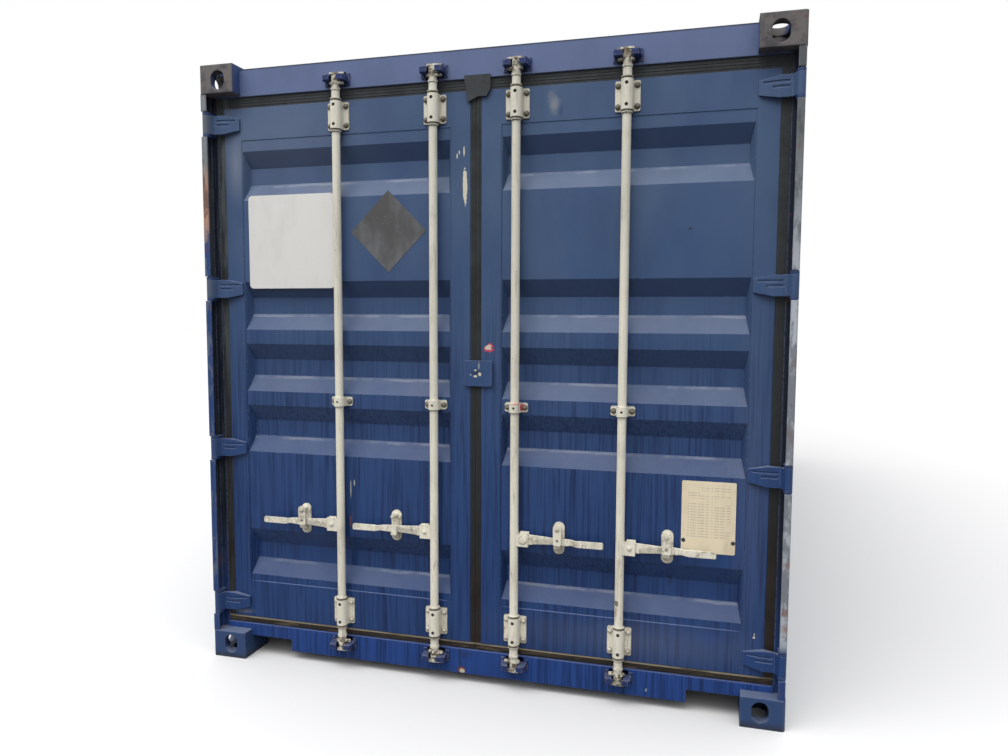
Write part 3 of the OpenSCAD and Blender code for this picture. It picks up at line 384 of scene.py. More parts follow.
def build_rub(w, given):
    """Edges: where the normal of a rounded edge leaves the true normal, broken up by noise."""
    rounded = w.add("ShaderNodeBevel", {"Radius": given["Width"]}, samples=2).outputs[0]
    true = w.add("ShaderNodeNewGeometry").outputs["Normal"]
    edge = w.step(w.less(1.0, w.vectors("DOT_PRODUCT", rounded, true)["Value"]), 0.004, 0.06)
    few = w.less(0.76, w.times(given["Amount"], 0.56))
    worn = w.step(w.noise(w.place(), given["Grain"], 4, 0.65), few, w.plus(few, 0.24))
    return {"Mask": w.times(edge, worn), "Normal": rounded}


def build_chips(w, given):
    """Small flecks: fine noise above a threshold, only where a coarse noise is high."""
    fine = w.step(w.noise(w.place(), given["Size"], 2, 0.6), 0.66, 0.72)
    coarse = w.noise(w.place((1, 1, 1), (5, 2, 8)), 1.7, 2)
    where = w.step(coarse, given["Sparse"], w.plus(given["Sparse"], 0.1))
    return {"Mask": w.times(fine, where)}


def build_mark(w, given):
    """One mark: 1 inside an ellipsoid about its middle. Rim moves its border by a noise, and
    Soft spreads the border inward and outward."""
    here = w.add("ShaderNodeTexCoord").outputs["Object"]
    away = w.vectors("SUBTRACT", here, given["Middle"])[0]
    far = w.vectors("LENGTH", w.vectors("DIVIDE", away, given["Reach"])[0])["Value"]
    return {"Mask": w.step(w.plus(far, given["Rim"]), w.plus(1.0, given["Soft"]),
                           w.less(1.0, given["Soft"]))}


def build_skin(w, given):
    """Height of brushed or sprayed paint: a fine ripple and slow waves of the sheet."""
    ripple = w.times(w.noise(w.place(), 420, 2), 0.04)
    waves = w.noise(w.place((1, 1, 0.6)), given["Waves"], 2)
    return {"Height": w.plus(ripple, waves), "Cloud": w.noise(w.place((1, 1, 0.5)), 3.1, 4)}


def build_dust(w, given):
    """Dust on faces that look up, thinned by noise; it is also painted sheen, the sky's light on
    those faces.
    """
    cloud = w.step(w.noise(w.place(), 5, 4, 0.6), 0.2, 0.7, 0.5, 1.0)
    return {"Mask": w.times(w.step(w.facing()[2], 0.2, 0.7), cloud)}


def build_band(w, given):
    """A level line: 1 within a half width of a height, which Shift moves up or down."""
    height = w.plus(w.here()[2], given["Shift"])
    away = w.math("ABSOLUTE", w.less(height, given["Height"]))
    return {"Mask": w.step(away, w.times(given["Half"], 1.6), w.times(given["Half"], 0.4))}


GROUPS = {
    "Streaks": (build_streaks, {"Per metre": 95.0, "Clear above": 1.9, "Full below": 0.8},
                ["Mask"]),
    "Rub": (build_rub, {"Width": 0.004, "Amount": 0.6, "Grain": 60.0}, ["Mask", "Normal"]),
    "Chips": (build_chips, {"Size": 90.0, "Sparse": 0.6}, ["Mask"]),
    "Mark": (build_mark, {
        "Middle": (0, 0, 0), "Reach": (0.1, 0.1, 0.1), "Rim": 0.0, "Soft": 0.05}, ["Mask"]),
    "Skin": (build_skin, {"Waves": 2.2}, ["Height", "Cloud"]),
    "Dust": (build_dust, {}, ["Mask"]),
    "Band": (build_band, {"Height": 1.0, "Half": 0.004, "Shift": 0.0}, ["Mask"]),
}


def make_groups():
    """Builds each shared effect once, as a node group with its inputs' defaults."""
    for name, (build, inputs, outputs) in GROUPS.items():
        if name in bpy.data.node_groups:
            continue
        tree = bpy.data.node_groups.new(name, "ShaderNodeTree")
        for title, default in inputs.items():
            kind = "NodeSocketVector" if isinstance(default, tuple) else "NodeSocketFloat"
            socket = tree.interface.new_socket(name=title, in_out="INPUT", socket_type=kind)
            socket.default_value = default
        for title in outputs:
            kind = "NodeSocketVector" if title == "Normal" else "NodeSocketFloat"
            tree.interface.new_socket(name=title, in_out="OUTPUT", socket_type=kind)
        w = Weaver(tree)
        results = build(w, tree.nodes.new("NodeGroupInput").outputs)
        out = tree.nodes.new("NodeGroupOutput")
        for title, value in results.items():
            w.join(value, out.inputs[title])


def new_material(name):
    """A material with one Principled shader; returns it, its weaver and the shader."""
    make_groups()
    material = bpy.data.materials.new(name)
    material.use_nodes = True
    tree = material.node_tree
    shader = next(n for n in tree.nodes if n.type == "BSDF_PRINCIPLED")
    return material, Weaver(tree), shader


def finish(w, shader, tint, roughness, height=None, normal=None, strength=0.3):
    """Joins the last sockets of a material to its shader."""
    w.join(tint, shader.inputs["Base Color"])
    w.join(roughness, shader.inputs["Roughness"])
    if height is None:
        return
    bump = w.add("ShaderNodeBump", {"Height": height, "Strength": strength, "Distance": 0.002})
    if normal is not None:
        w.join(normal, bump.inputs["Normal"])
    w.join(bump.outputs[0], shader.inputs["Normal"])


def dress(material, nodes):
    """Gives CAD nodes a material in each of their slots."""
    for name in nodes:
        for slot in frame["nodes"][name].material_slots:
            slot.material = material


def worn_paint(name, nodes, fresh, faded=None, worn=None, wear=0.6, streaks=0.0,
               fade=(0.5, 2.1), rough=0.46, width=0.004, chips=0.62, dust=0.3, layers=(),
               marks=()):
    """Dresses nodes in paint that goes toward its high tint with height, streaks with water,
    gathers dust on faces that look up, and is rubbed at its edges. The high tint is chalking
    and painted sky reflection on the doors and walls, and dirt and painted shade on the gear;
    the dust on faces that look up is also painted sheen, and the pale rubbed edges are also
    painted highlight. layers are functions of (weaver, colour) that each give a colour. Each
    mark is its middle, reach, raggedness, grain, strength and colour, and how soft its rim is."""
    paint = bpy.context.scene.container_paint
    material, w, shader = new_material(name)
    shader.inputs["Specular IOR Level"].default_value = 0.2
    skin = w.use("Skin")
    # Tint that changes with height: chalking and painted sky reflection on the doors, dirt and
    # painted shade on the gear.
    pale = w.step(w.here()[2], *fade)
    tint = w.lay(fresh, faded or fresh, pale, w.step(skin["Cloud"], 0.25, 0.75, 0.6, 1.0))
    blotch = w.clouds(6.0, 0.35, 0.75, 0.28, 4, 0.62, (1, 1, 0.4), (7, 1, 3))
    tint = w.lay(tint, toned(fresh, 0.55), blotch)
    wet = w.times(w.use("Streaks")["Mask"], streaks)
    tint = w.lay(tint, paint.streak_and_shade_blue, wet)
    # Dust and painted sheen on faces that look up.
    tint = w.lay(tint, paint.dust, w.use("Dust")["Mask"], dust)
    for layer in layers:
        tint = layer(w, tint)
    rub = w.use("Rub", Width=width, Amount=wear)
    # Pale edges where no worn colour is given: rubbed paint and painted highlight.
    tint = w.lay(tint, worn or paint.pale_edge_and_highlight, rub["Mask"], 0.75)
    bare = w.times(rub["Mask"], 0.6)
    if chips is not None:
        fleck = w.use("Chips", Sparse=chips)["Mask"]
        tint = w.lay(tint, paint.rust, fleck, 0.8)
        bare = w.most(bare, fleck)
    grains = {}
    for middle, reach, ragged, grain, strong, shade, *soft in marks:
        if grain not in grains:
            grains[grain] = skin["Cloud"] if grain < 10 else w.noise(w.place(), grain, 2, 0.7)
        mask = w.times(w.use(
            "Mark", Middle=middle, Reach=reach, Rim=w.times(grains[grain], ragged),
            Soft=soft[0] if soft else 0.05)["Mask"], strong)
        tint = w.lay(tint, shade, mask)
        bare = w.most(bare, mask)
    roughness = w.step(skin["Cloud"], 0.2, 0.8, rough - 0.06, rough + 0.1)
    roughness = w.plus(roughness, w.times(bare, 0.25), clamp=True)
    roughness = w.less(roughness, w.times(wet, 0.1), clamp=True)
    level = w.less(skin["Height"], w.times(bare, 0.15))
    finish(w, shader, tint, roughness, level, rub["Normal"])
    dress(material, nodes)
    return material


# Surfaces


def add_piece(name, shape, material, body, smooth=True):
    """A mesh object from a shape's points and faces, its faces turned outward. It rides a
    body."""
    points, faces = shape
    mesh = bpy.data.meshes.new(name)
    mesh.from_pydata(points.tolist(), [], faces)
    mesh.polygons.foreach_set("use_smooth", [smooth] * len(mesh.polygons))
    mesh.update()
    mesh.validate()
    triangles = np.array([(f[0], f[i], f[i + 1]) for f in faces for i in range(1, len(f) - 1)])
    corners = points[triangles]
    volume = np.einsum("ij,ij->i", corners[:, 0], np.cross(corners[:, 1], corners[:, 2])).sum()
    if volume < 0:
        mesh.flip_normals()
    mesh.materials.append(material)
    piece = bpy.data.objects.new(name, mesh)
    bpy.context.scene.collection.objects.link(piece)
    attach(piece, body)
    return piece


def ringed(rings):
    """Points and faces of closed shapes. rings is (shapes, rows, around, 3): each row is a ring,
    the first and last rows are single points, and neighbouring rings are joined by quads."""
    shapes, rows, around, _ = rings.shape
    inner = rings[:, 1:-1].reshape(shapes, -1, 3)
    points = np.concatenate([inner, rings[:, [0, -1], 0]], axis=1)
    here = np.arange((rows - 2) * around).reshape(rows - 2, around)
    beside = np.roll(here, -1, axis=1)
    quads = np.stack([here[:-1], here[1:], beside[1:], beside[:-1]], -1).reshape(-1, 4)
    pole = np.full(around, (rows - 2) * around)
    caps = np.concatenate([
        np.stack([pole, here[0], beside[0]], -1),
        np.stack([pole + 1, beside[-1], here[-1]], -1)])
    starts = np.arange(shapes)[:, None, None] * points.shape[1]
    faces = (quads[None] + starts).reshape(-1, 4).tolist()
    faces += (caps[None] + starts).reshape(-1, 3).tolist()
    return points.reshape(-1, 3), faces


def heads(centres, profile, around=20):
    """Turned heads that look along -Y: at each centre, the (radius, height) profile goes round."""
    turn = np.linspace(0, 2 * math.pi, around, endpoint=False)
    radius, height = np.array(profile).T[:, :, None]
    ring = np.stack(np.broadcast_arrays(
        radius * np.cos(turn), -height, radius * np.sin(turn)), -1)
    return ringed(np.asarray(centres)[:, None, None, :] + ring[None])


def dome_profile(radius, height, collar=1.35, collar_height=0.22):
    """A washer with a domed head: flat collar, short side, then a quarter of an ellipse."""
    arc = np.linspace(0, math.pi / 2, 6)
    dome = np.stack([radius * np.cos(arc), height * (0.45 + 0.55 * np.sin(arc))], -1)
    collar_r, collar_h = radius * collar, height * collar_height
    start = [(0, -0.001), (collar_r, -0.001), (collar_r, collar_h * 0.7),
             (collar_r * 0.96, collar_h), (radius, collar_h)]
    return np.concatenate([start, dome])


def beads(lines, radius, across, other, pitch, rows=340, around=10):
    """Weld beads along straight lines: circles in the plane of across and other are set along
    each line, with a radius that ripples as a sine and falls to nothing at both ends."""
    start, end = np.asarray(lines, float).transpose(1, 0, 2)
    along = np.linspace(0, 1, rows)
    reach = np.linalg.norm(end - start, axis=1)
    ripple = 1 + 0.16 * np.sin(2 * math.pi * along * reach[:, None] / pitch)
    size = radius * ripple * np.sqrt(np.clip(1 - (2 * along - 1) ** 10, 0, 1))
    turn = np.linspace(0, 2 * math.pi, around, endpoint=False)[:, None]
    circle = np.cos(turn) * np.array(across) + np.sin(turn) * np.array(other)
    centre = start[:, None] + along[None, :, None] * (end - start)[:, None]
    return ringed(centre[:, :, None] + size[:, :, None, None] * circle)


def slab(outline, y, thickness, rows=2):
    """A thin sheet on a plane at y. outline is the (x, z) rim; rings shrink from the rim to the
    middle on the front and again on the back."""
    middle = outline.mean(axis=0)
    flat = middle + np.linspace(1, 0, rows + 1)[:, None, None] * (outline - middle)
    front, back = (np.insert(flat, 1, depth, axis=-1) for depth in (y - thickness, y))
    return ringed(np.concatenate([front[::-1], back])[None])


def round_rectangle(low, high, radius, steps=6):
    """Rim points of a rectangle with round corners."""
    quarter, rim = np.linspace(0, math.pi / 2, steps), []
    for k, corner in enumerate((tuple(high), (low[0], high[1]), tuple(low), (high[0], low[1]))):
        turn = quarter + k * math.pi / 2
        outward = np.sign([np.cos(turn.mean()), np.sin(turn.mean())])
        rim.append(corner + radius * (np.stack([np.cos(turn), np.sin(turn)], -1) - outward))
    return np.concatenate(rim)


# Operators


class CONTAINER_OT_finish_frame(bpy.types.Operator):
    """Paints the castings, posts, header, sill, rails, walls, roof and base"""

    bl_idname = "container.finish_frame"
    bl_label = "Finish the frame"

    def execute(self, context):
        paint = context.scene.container_paint
        worn_paint(
            "wall_paint", (
                "left_wall", "right_wall", "front_wall", "roof_panel", "roof_corner_plates",
                "front_end_posts", "front_top_rail", "front_bottom_rail", "top_side_rails",
                "bottom_side_rails", "fork_pockets", "side_vents"),
            paint.wall_blue, paint.door_chalk_and_sheen, wear=paint.edge_wear * 0.7,
            streaks=paint.streaks * 0.6)

        def upper_edge(w, tint):
            """A dark, uneven line along the header's upper edge."""
            edge = w.band(CAD_HIGH.z - 0.011, 0.005, w.waver(0.004))
            return w.lay(tint, paint.grime_and_shade, edge, 0.8)

        worn_paint(
            "header_paint", ["door_header"], paint.header_blue, wear=paint.edge_wear,
            worn=paint.grime_and_shade, dust=0.1, chips=0.70, layers=(upper_edge,))
        face = FACE_Y + 0.056
        worn_paint(
            # The sill's wide, full edge rub, the notch's top edge among them, is also a painted
            # highlight.
            "sill_paint", ["door_sill"], paint.sill_blue, wear=1.0, streaks=paint.streaks,
            dust=0.12, width=0.006, marks=(
                ((-0.044, face, 0.122), (0.050, 0.02, 0.030), 1.2, 30, 0.50,
                 paint.rubber_mud, 0.5),
                ((-0.059, face, 0.052), (0.026, 0.02, 0.022), 0.7, 70, 0.9, paint.rust),
                ((-0.057, face, 0.049), (0.017, 0.02, 0.014), 0.7, 90, 0.85, paint.primer),
                ((0.705, face, 0.067), (0.006, 0.02, 0.012), 0.9, 90, 0.5, paint.primer)))
        worn_paint(
            "keeper_paint", ["cam_keepers"], paint.keeper_blue, wear=0.7, worn=paint.primer,
            chips=0.5, dust=0.2)
        self.paint_castings(paint)
        self.paint_posts(paint)
        worn_paint(
            "base_coat", ["cross_members"], paint.base_coat, worn=paint.rust, wear=0.3,
            rough=0.7, dust=0.1)
        self.finish_floor(paint.plywood)
        return {"FINISHED"}

    def paint_castings(self, paint):
        """Top castings are rubbed grey with dark clouds and blue inner sides; the bottom ones
        are blue above a dark band at the ground."""
        def clouds(w, tint):
            return w.lay(tint, paint.casting_dark, w.clouds(11, 0.42, 0.62, 0.75, 5, 0.7))

        def inner_sides(w, tint):
            inward = w.times(w.facing()[0], w.math("SIGN", w.here()[0]))
            return w.lay(tint, paint.wall_blue, w.step(inward, -0.6, -0.9), 0.85)

        def ground_band(w, tint):
            ragged = w.times(w.noise(w.place(), 26, 5, 0.7), 0.03)
            band = w.step(w.plus(w.here()[2], ragged), 0.048, 0.018, 0.0, 0.8)
            return w.lay(tint, paint.casting_dark, band)

        worn_paint(
            "casting_paint", ["top_corner_castings"], paint.casting_grey, worn=paint.post_grey,
            wear=1.0, rough=0.62, width=0.009, chips=0.5, dust=0.15,
            layers=(clouds, inner_sides))
        worn_paint(
            "low_casting_paint", ["bottom_corner_castings"], paint.low_casting, wear=0.8,
            streaks=0.1, rough=0.5, width=0.008, dust=0.35, layers=(ground_band,))

    def paint_posts(self, paint):
        """The outer strips are rubbed grey, silver lower down on the right and salmon high up on
        the left; the channels behind them are dark with grime and painted shade."""
        grey, grime_and_shade, rust = paint.post_grey, paint.grime_and_shade, paint.rust

        def strips(w, tint):
            x, y, z = w.here()
            strip = w.step(w.less(y, FACE_Y), 0.016, 0.011)
            right = w.step(x, -0.1, 0.1)
            mottle = w.clouds(24, 0.40, 0.60, 1.0, 5, 0.7, (1, 1, 0.35))
            shiny = w.step(mottle, 0, 1, 0.55, 1.0)
            bare = w.lay(grey, paint.post_silver, w.step(z, 2.25, 1.55), shiny)
            bare = w.lay(bare, grime_and_shade, w.step(mottle, 0.9, 0.2), 0.35)
            tint = w.lay(tint, bare, strip, right, w.step(z, 0.29, 0.34))
            aged = w.lay(toned(grey, 1.6), paint.post_salmon, w.band(2.01, 0.13))
            aged = w.lay(aged, grime_and_shade, w.step(mottle, 0.8, 0.2, 0.0, 0.6))
            cover = w.most(w.step(z, 1.80, 1.95), w.step(mottle, 0.45, 0.75))
            return w.lay(
                tint, aged, strip, w.less(1.0, right), w.step(z, 1.70, 1.95, 0.35, 0.95), cover,
                w.step(z, 0.32, 0.42))

        def channels(w, tint):
            x, y, z = w.here()
            side, deep = w.math("SIGN", x), w.less(y, FACE_Y)
            lines = w.clouds(70, 0.42, 0.62, 1.0, 4, 0.7, (1, 1, 0.04))
            brown = w.lay(toned(grime_and_shade, 1.1), toned(grey, 0.45), lines)
            shade = w.lay(grime_and_shade, brown, w.step(side, 0.5, -0.5))
            inner = w.step(w.times(w.facing()[0], side), 0.5, 0.1)
            # Grime and painted shade deep in the channels.
            return w.lay(
                tint, shade, w.step(deep, 0.012, 0.018), w.step(deep, 0.19, 0.17), inner,
                w.step(z, 0.18, 0.7, 0.0, 0.92))

        def rusty(w, tint):
            return w.lay(tint, rust, w.clouds(
                15, 0.60, 0.68, 0.35, 4, 0.7, (1, 1, 0.5), (2, 0, 0)))

        worn_paint(
            "post_paint", ["door_end_posts"], paint.wall_blue, wear=0.8, streaks=0.3,
            width=0.008, chips=0.5, layers=(strips, channels, rusty), marks=[
                ((1.210, FACE_Y + 0.004, height), (0.040, 0.04, reach), 1.2, 50, 0.6, rust, 0.3)
                for height, reach in ((0.63, 0.034), (0.45, 0.034), (0.39, 0.048))])
        worn_paint(
            "lug_paint", ("hinge_lugs", "hinge_pins"), paint.wall_blue, worn=grey, wear=1.0,
            width=0.008, chips=0.45)

    def finish_floor(self, wood):
        """Plywood: boards told apart by steps across X, with grain drawn out along Y."""
        material, w, shader = new_material("plywood")
        board = w.math("FLOOR", w.math("DIVIDE", w.here()[0], 0.584))
        tone = w.add("ShaderNodeTexWhiteNoise", {"W": board}, noise_dimensions="1D").outputs[0]
        grain = w.noise(w.place((30, 1.6, 30)), 2.4, 6, 0.65)
        dark = w.plus(w.times(tone, 0.25), w.times(grain, 0.6))
        tint = w.lay(wood, toned(wood, 0.45), dark)
        scuffs = w.use("Chips", Size=14.0, Sparse=0.4)["Mask"]
        tint = w.lay(tint, toned(wood, 0.3), scuffs, 0.4)
        finish(w, shader, tint, 0.62, grain, strength=0.2)
        dress(material, ["floor_panel"])


class CONTAINER_OT_finish_doors(bpy.types.Operator):
    """Paints the doors, with the scrapes and marks of the real ones"""

    bl_idname = "container.finish_doors"
    bl_label = "Finish the doors"

    def execute(self, context):
        paint = context.scene.container_paint
        primer, dark, pale, brown = paint.primer, paint.streak_and_shade_blue, paint.dust, paint.rubber_mud
        face = FACE_Y + 0.062
        deep = face + 0.038

        def bends(w, tint):
            """A whitish, wavering line along each lower bend, where the slope starts: scuffs and a
            painted highlight.
            """
            shift = w.waver(0.016)
            lines = w.most(*(w.band(height - 0.007, 0.005, shift) for height in paint.bends))
            patchy = w.clouds(5.5, 0.42, 0.60, detail=4, stretch=(1, 1, 0.2), shift=(1, 4, 2))
            return w.lay(tint, pale, lines, w.step(w.facing()[2], 0.15, 0.35), patchy, 0.38)

        def undersides(w, tint):
            """The slopes that look down are painted darker high up: painted shade, laid in the
            streak blue.
            """
            high = w.step(w.here()[2], 0.9, 1.7, 0.0, 0.45)
            return w.lay(tint, dark, w.step(w.facing()[2], -0.2, -0.4), high)

        marks = (
            ((-0.046, face, 2.050), (0.0135, 0.01, 0.100), 0.6, 100, 1.0, primer),
            ((-0.079, face, 2.170), (0.0035, 0.01, 0.014), 0.5, 100, 0.9, primer),
            ((-0.070, face, 2.184), (0.0035, 0.01, 0.012), 0.5, 100, 0.9, primer),
            ((-0.050, face, 2.187), (0.0045, 0.01, 0.026), 0.6, 100, 0.9, primer),
            ((-0.563, face + 0.002, 0.790), (0.0030, 0.01, 0.052), 0.5, 50, 0.75, primer),
            ((-0.546, face + 0.002, 0.816), (0.0035, 0.01, 0.018), 0.5, 100, 0.75, primer),
            ((-0.565, face + 0.002, 0.646), (0.011, 0.01, 0.048), 1.0, 50, 0.55, paint.rust),
            ((0.056, face, 1.409), (0.046, 0.02, 0.038), 1.1, 50, 0.75, paint.red_spray),
            ((0.054, face, 1.408), (0.034, 0.02, 0.024), 1.1, 50, 0.9, primer),
            ((0.310, deep, 1.412), (0.075, 0.03, 0.014), 1.2, 50, 0.35, brown, 0.3),
            ((0.276, deep, 1.404), (0.016, 0.03, 0.0060), 0.6, 100, 0.7, primer),
            ((0.340, deep, 1.432), (0.011, 0.03, 0.0065), 0.6, 100, 0.7, primer),
            ((0.315, face, 2.352), (0.034, 0.01, 0.066), 1.2, 25, 0.22, primer, 0.5),
            ((0.340, face, 2.318), (0.018, 0.01, 0.060), 1.2, 25, 0.30, dark, 0.5),
            ((-1.090, face, 2.180), (0.062, 0.01, 0.190), 1.3, 6, 0.42, pale, 0.7),
            ((-0.900, face, 2.300), (0.500, 0.10, 0.300), 0.8, 6, 0.16, pale, 0.8),
            ((-1.100, face, 0.196), (0.080, 0.01, 0.020), 1.0, 25, 0.40, pale, 0.4),
            ((0.787, deep, 0.520), (0.011, 0.03, 0.052), 1.1, 25, 0.55, brown, 0.5),
            ((0.938, face, 0.300), (0.085, 0.01, 0.062), 1.2, 25, 0.45, paint.touch_up, 0.5),
            ((0.650, face, 0.260), (0.600, 0.05, 0.100), 0.8, 6, 0.13, pale, 0.7),
            ((1.080, face, 0.900), (0.080, 0.05, 0.800), 0.8, 6, 0.09, pale, 0.7),
            ((0.834, face + 0.002, 1.860), (0.008, 0.01, 0.007), 0.5, 100, 0.75, brown, 0.4),
            ((1.104, face, 0.334), (0.0025, 0.01, 0.011), 0.4, 100, 0.7, primer),
            ((1.103, face, 0.323), (0.0070, 0.01, 0.0045), 0.5, 100, 1.0, primer))
        for side, name in ((-1, "left_door"), (1, "right_door")):
            # The height fade and the dust on slopes that look up are also painted sky reflection
            # and sheen.
            worn_paint(
                f"{name}_paint", (f"{name}_frame", f"{name}_panel"), paint.door_blue,
                paint.door_chalk_and_sheen, wear=paint.edge_wear * 0.8, streaks=paint.streaks, chips=None,
                dust=0.34, fade=(0.5, 1.95), layers=(bends, undersides),
                marks=[mark for mark in marks if mark[0][0] * side > 0])
        self.paint_blades(paint)
        self.paint_plate(paint)
        return {"FINISHED"}

    def paint_blades(self, paint):
        """The hinge blades, dusty, and rubbed grey on the knuckles of the left door."""
        def knuckles(w, tint):
            x, _, z = w.here()
            high = w.step(z, 1.3, 2.0, 0.1, 0.7)
            return w.lay(tint, paint.post_grey, w.step(x, -1.180, -1.192), high)

        worn_paint(
            "blade_paint", ("left_hinge_blades", "right_hinge_blades"), paint.door_blue,
            paint.door_chalk_and_sheen, wear=0.9, streaks=0.3, chips=0.74, dust=0.5, layers=(knuckles,))

    def paint_plate(self, paint):
        """The plate over the middle gap, chipped where something struck it."""
        primer = paint.primer
        low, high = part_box("centre_plate")
        x, y, z = (low.x + high.x) / 2, low.y, (low.z + high.z) / 2
        worn_paint(
            "plate_paint", ["centre_plate"], paint.door_blue, paint.door_chalk_and_sheen, wear=1.0,
            streaks=0.2, chips=0.70, dust=0.6, marks=(
                ((x - 0.006, y, z + 0.002), (0.034, 0.02, 0.022), 1.1, 60, 0.6,
                 paint.rubber_mud, 0.4),
                ((x + 0.004, y, z + 0.030), (0.006, 0.02, 0.022), 0.9, 60, 0.4, primer, 0.4),
                ((x + 0.007, y, z - 0.003), (0.0130, 0.02, 0.0145), 0.9, 90, 1.0, primer),
                ((x - 0.012, y, z - 0.011), (0.0145, 0.02, 0.0085), 0.9, 90, 1.0, primer),
                ((x - 0.010, y, z + 0.013), (0.0085, 0.02, 0.0070), 0.9, 90, 1.0, primer),
                ((x - 0.030, y, z - 0.006), (0.0065, 0.02, 0.0050), 0.9, 90, 0.6, primer)))


class CONTAINER_OT_finish_seals(bpy.types.Operator):
    """Gives the door seals their dusty rubber, muddy near the sill"""

    bl_idname = "container.finish_seals"
    bl_label = "Finish the seals"

    def execute(self, context):
        paint = context.scene.container_paint
        material, w, shader = new_material("seal_rubber")
        shader.inputs["Specular IOR Level"].default_value = 0.25
        x, _, z = w.here()
        cloud = w.clouds(7, 0.35, 0.7, 1.0, 5, 0.7)
        high = w.step(z, 0.3, 2.3, 0.15, 1.0)
        tint = w.lay(paint.rubber_black, paint.rubber_dust, cloud, high)
        mud = w.times(
            w.step(z, 1.1, 0.2), w.clouds(16, 0.35, 0.6, 1.0, 5, 0.7, (1, 0.1, 0.3)))
        tint = w.lay(tint, paint.rubber_mud, w.most(mud, w.step(z, 0.26, 0.20, 0.0, 0.9)))
        smear = w.clouds(28, 0.42, 0.62, 1.0, 4, 0.65, (1, 1, 0.12), (2, 2, 0))
        tint = w.lay(
            tint, toned(paint.rubber_dust, 2.0), smear, w.step(x, -1.10, -1.14),
            w.step(z, 0.9, 1.6, 0.25, 0.75))
        ochre = w.clouds(60, 0.50, 0.64, 0.6, 4, 0.65, (0.12, 1, 1), (9, 0, 3))
        tint = w.lay(tint, paint.gear_dirt, w.step(z, 0.20, 0.15), ochre)
        # Dust and painted highlight on the ribs' upper faces.
        tint = w.lay(tint, toned(paint.rubber_dust, 1.4), w.use("Dust")["Mask"], 0.75)
        line = w.band(0.1705, 0.0035, w.waver(0.002))
        patchy = w.step(w.noise(w.place((1, 1, 0.1)), 5, 4), 0.3, 0.5, 0.25, 0.85)
        tint = w.lay(tint, paint.seal_line, line, patchy)
        grain = w.noise(w.place(), 300, 3)
        finish(w, shader, tint, w.step(cloud, 0, 1, 0.6, 0.85), grain, strength=0.25)
        dress(material, ("left_gasket", "right_gasket"))
        return {"FINISHED"}


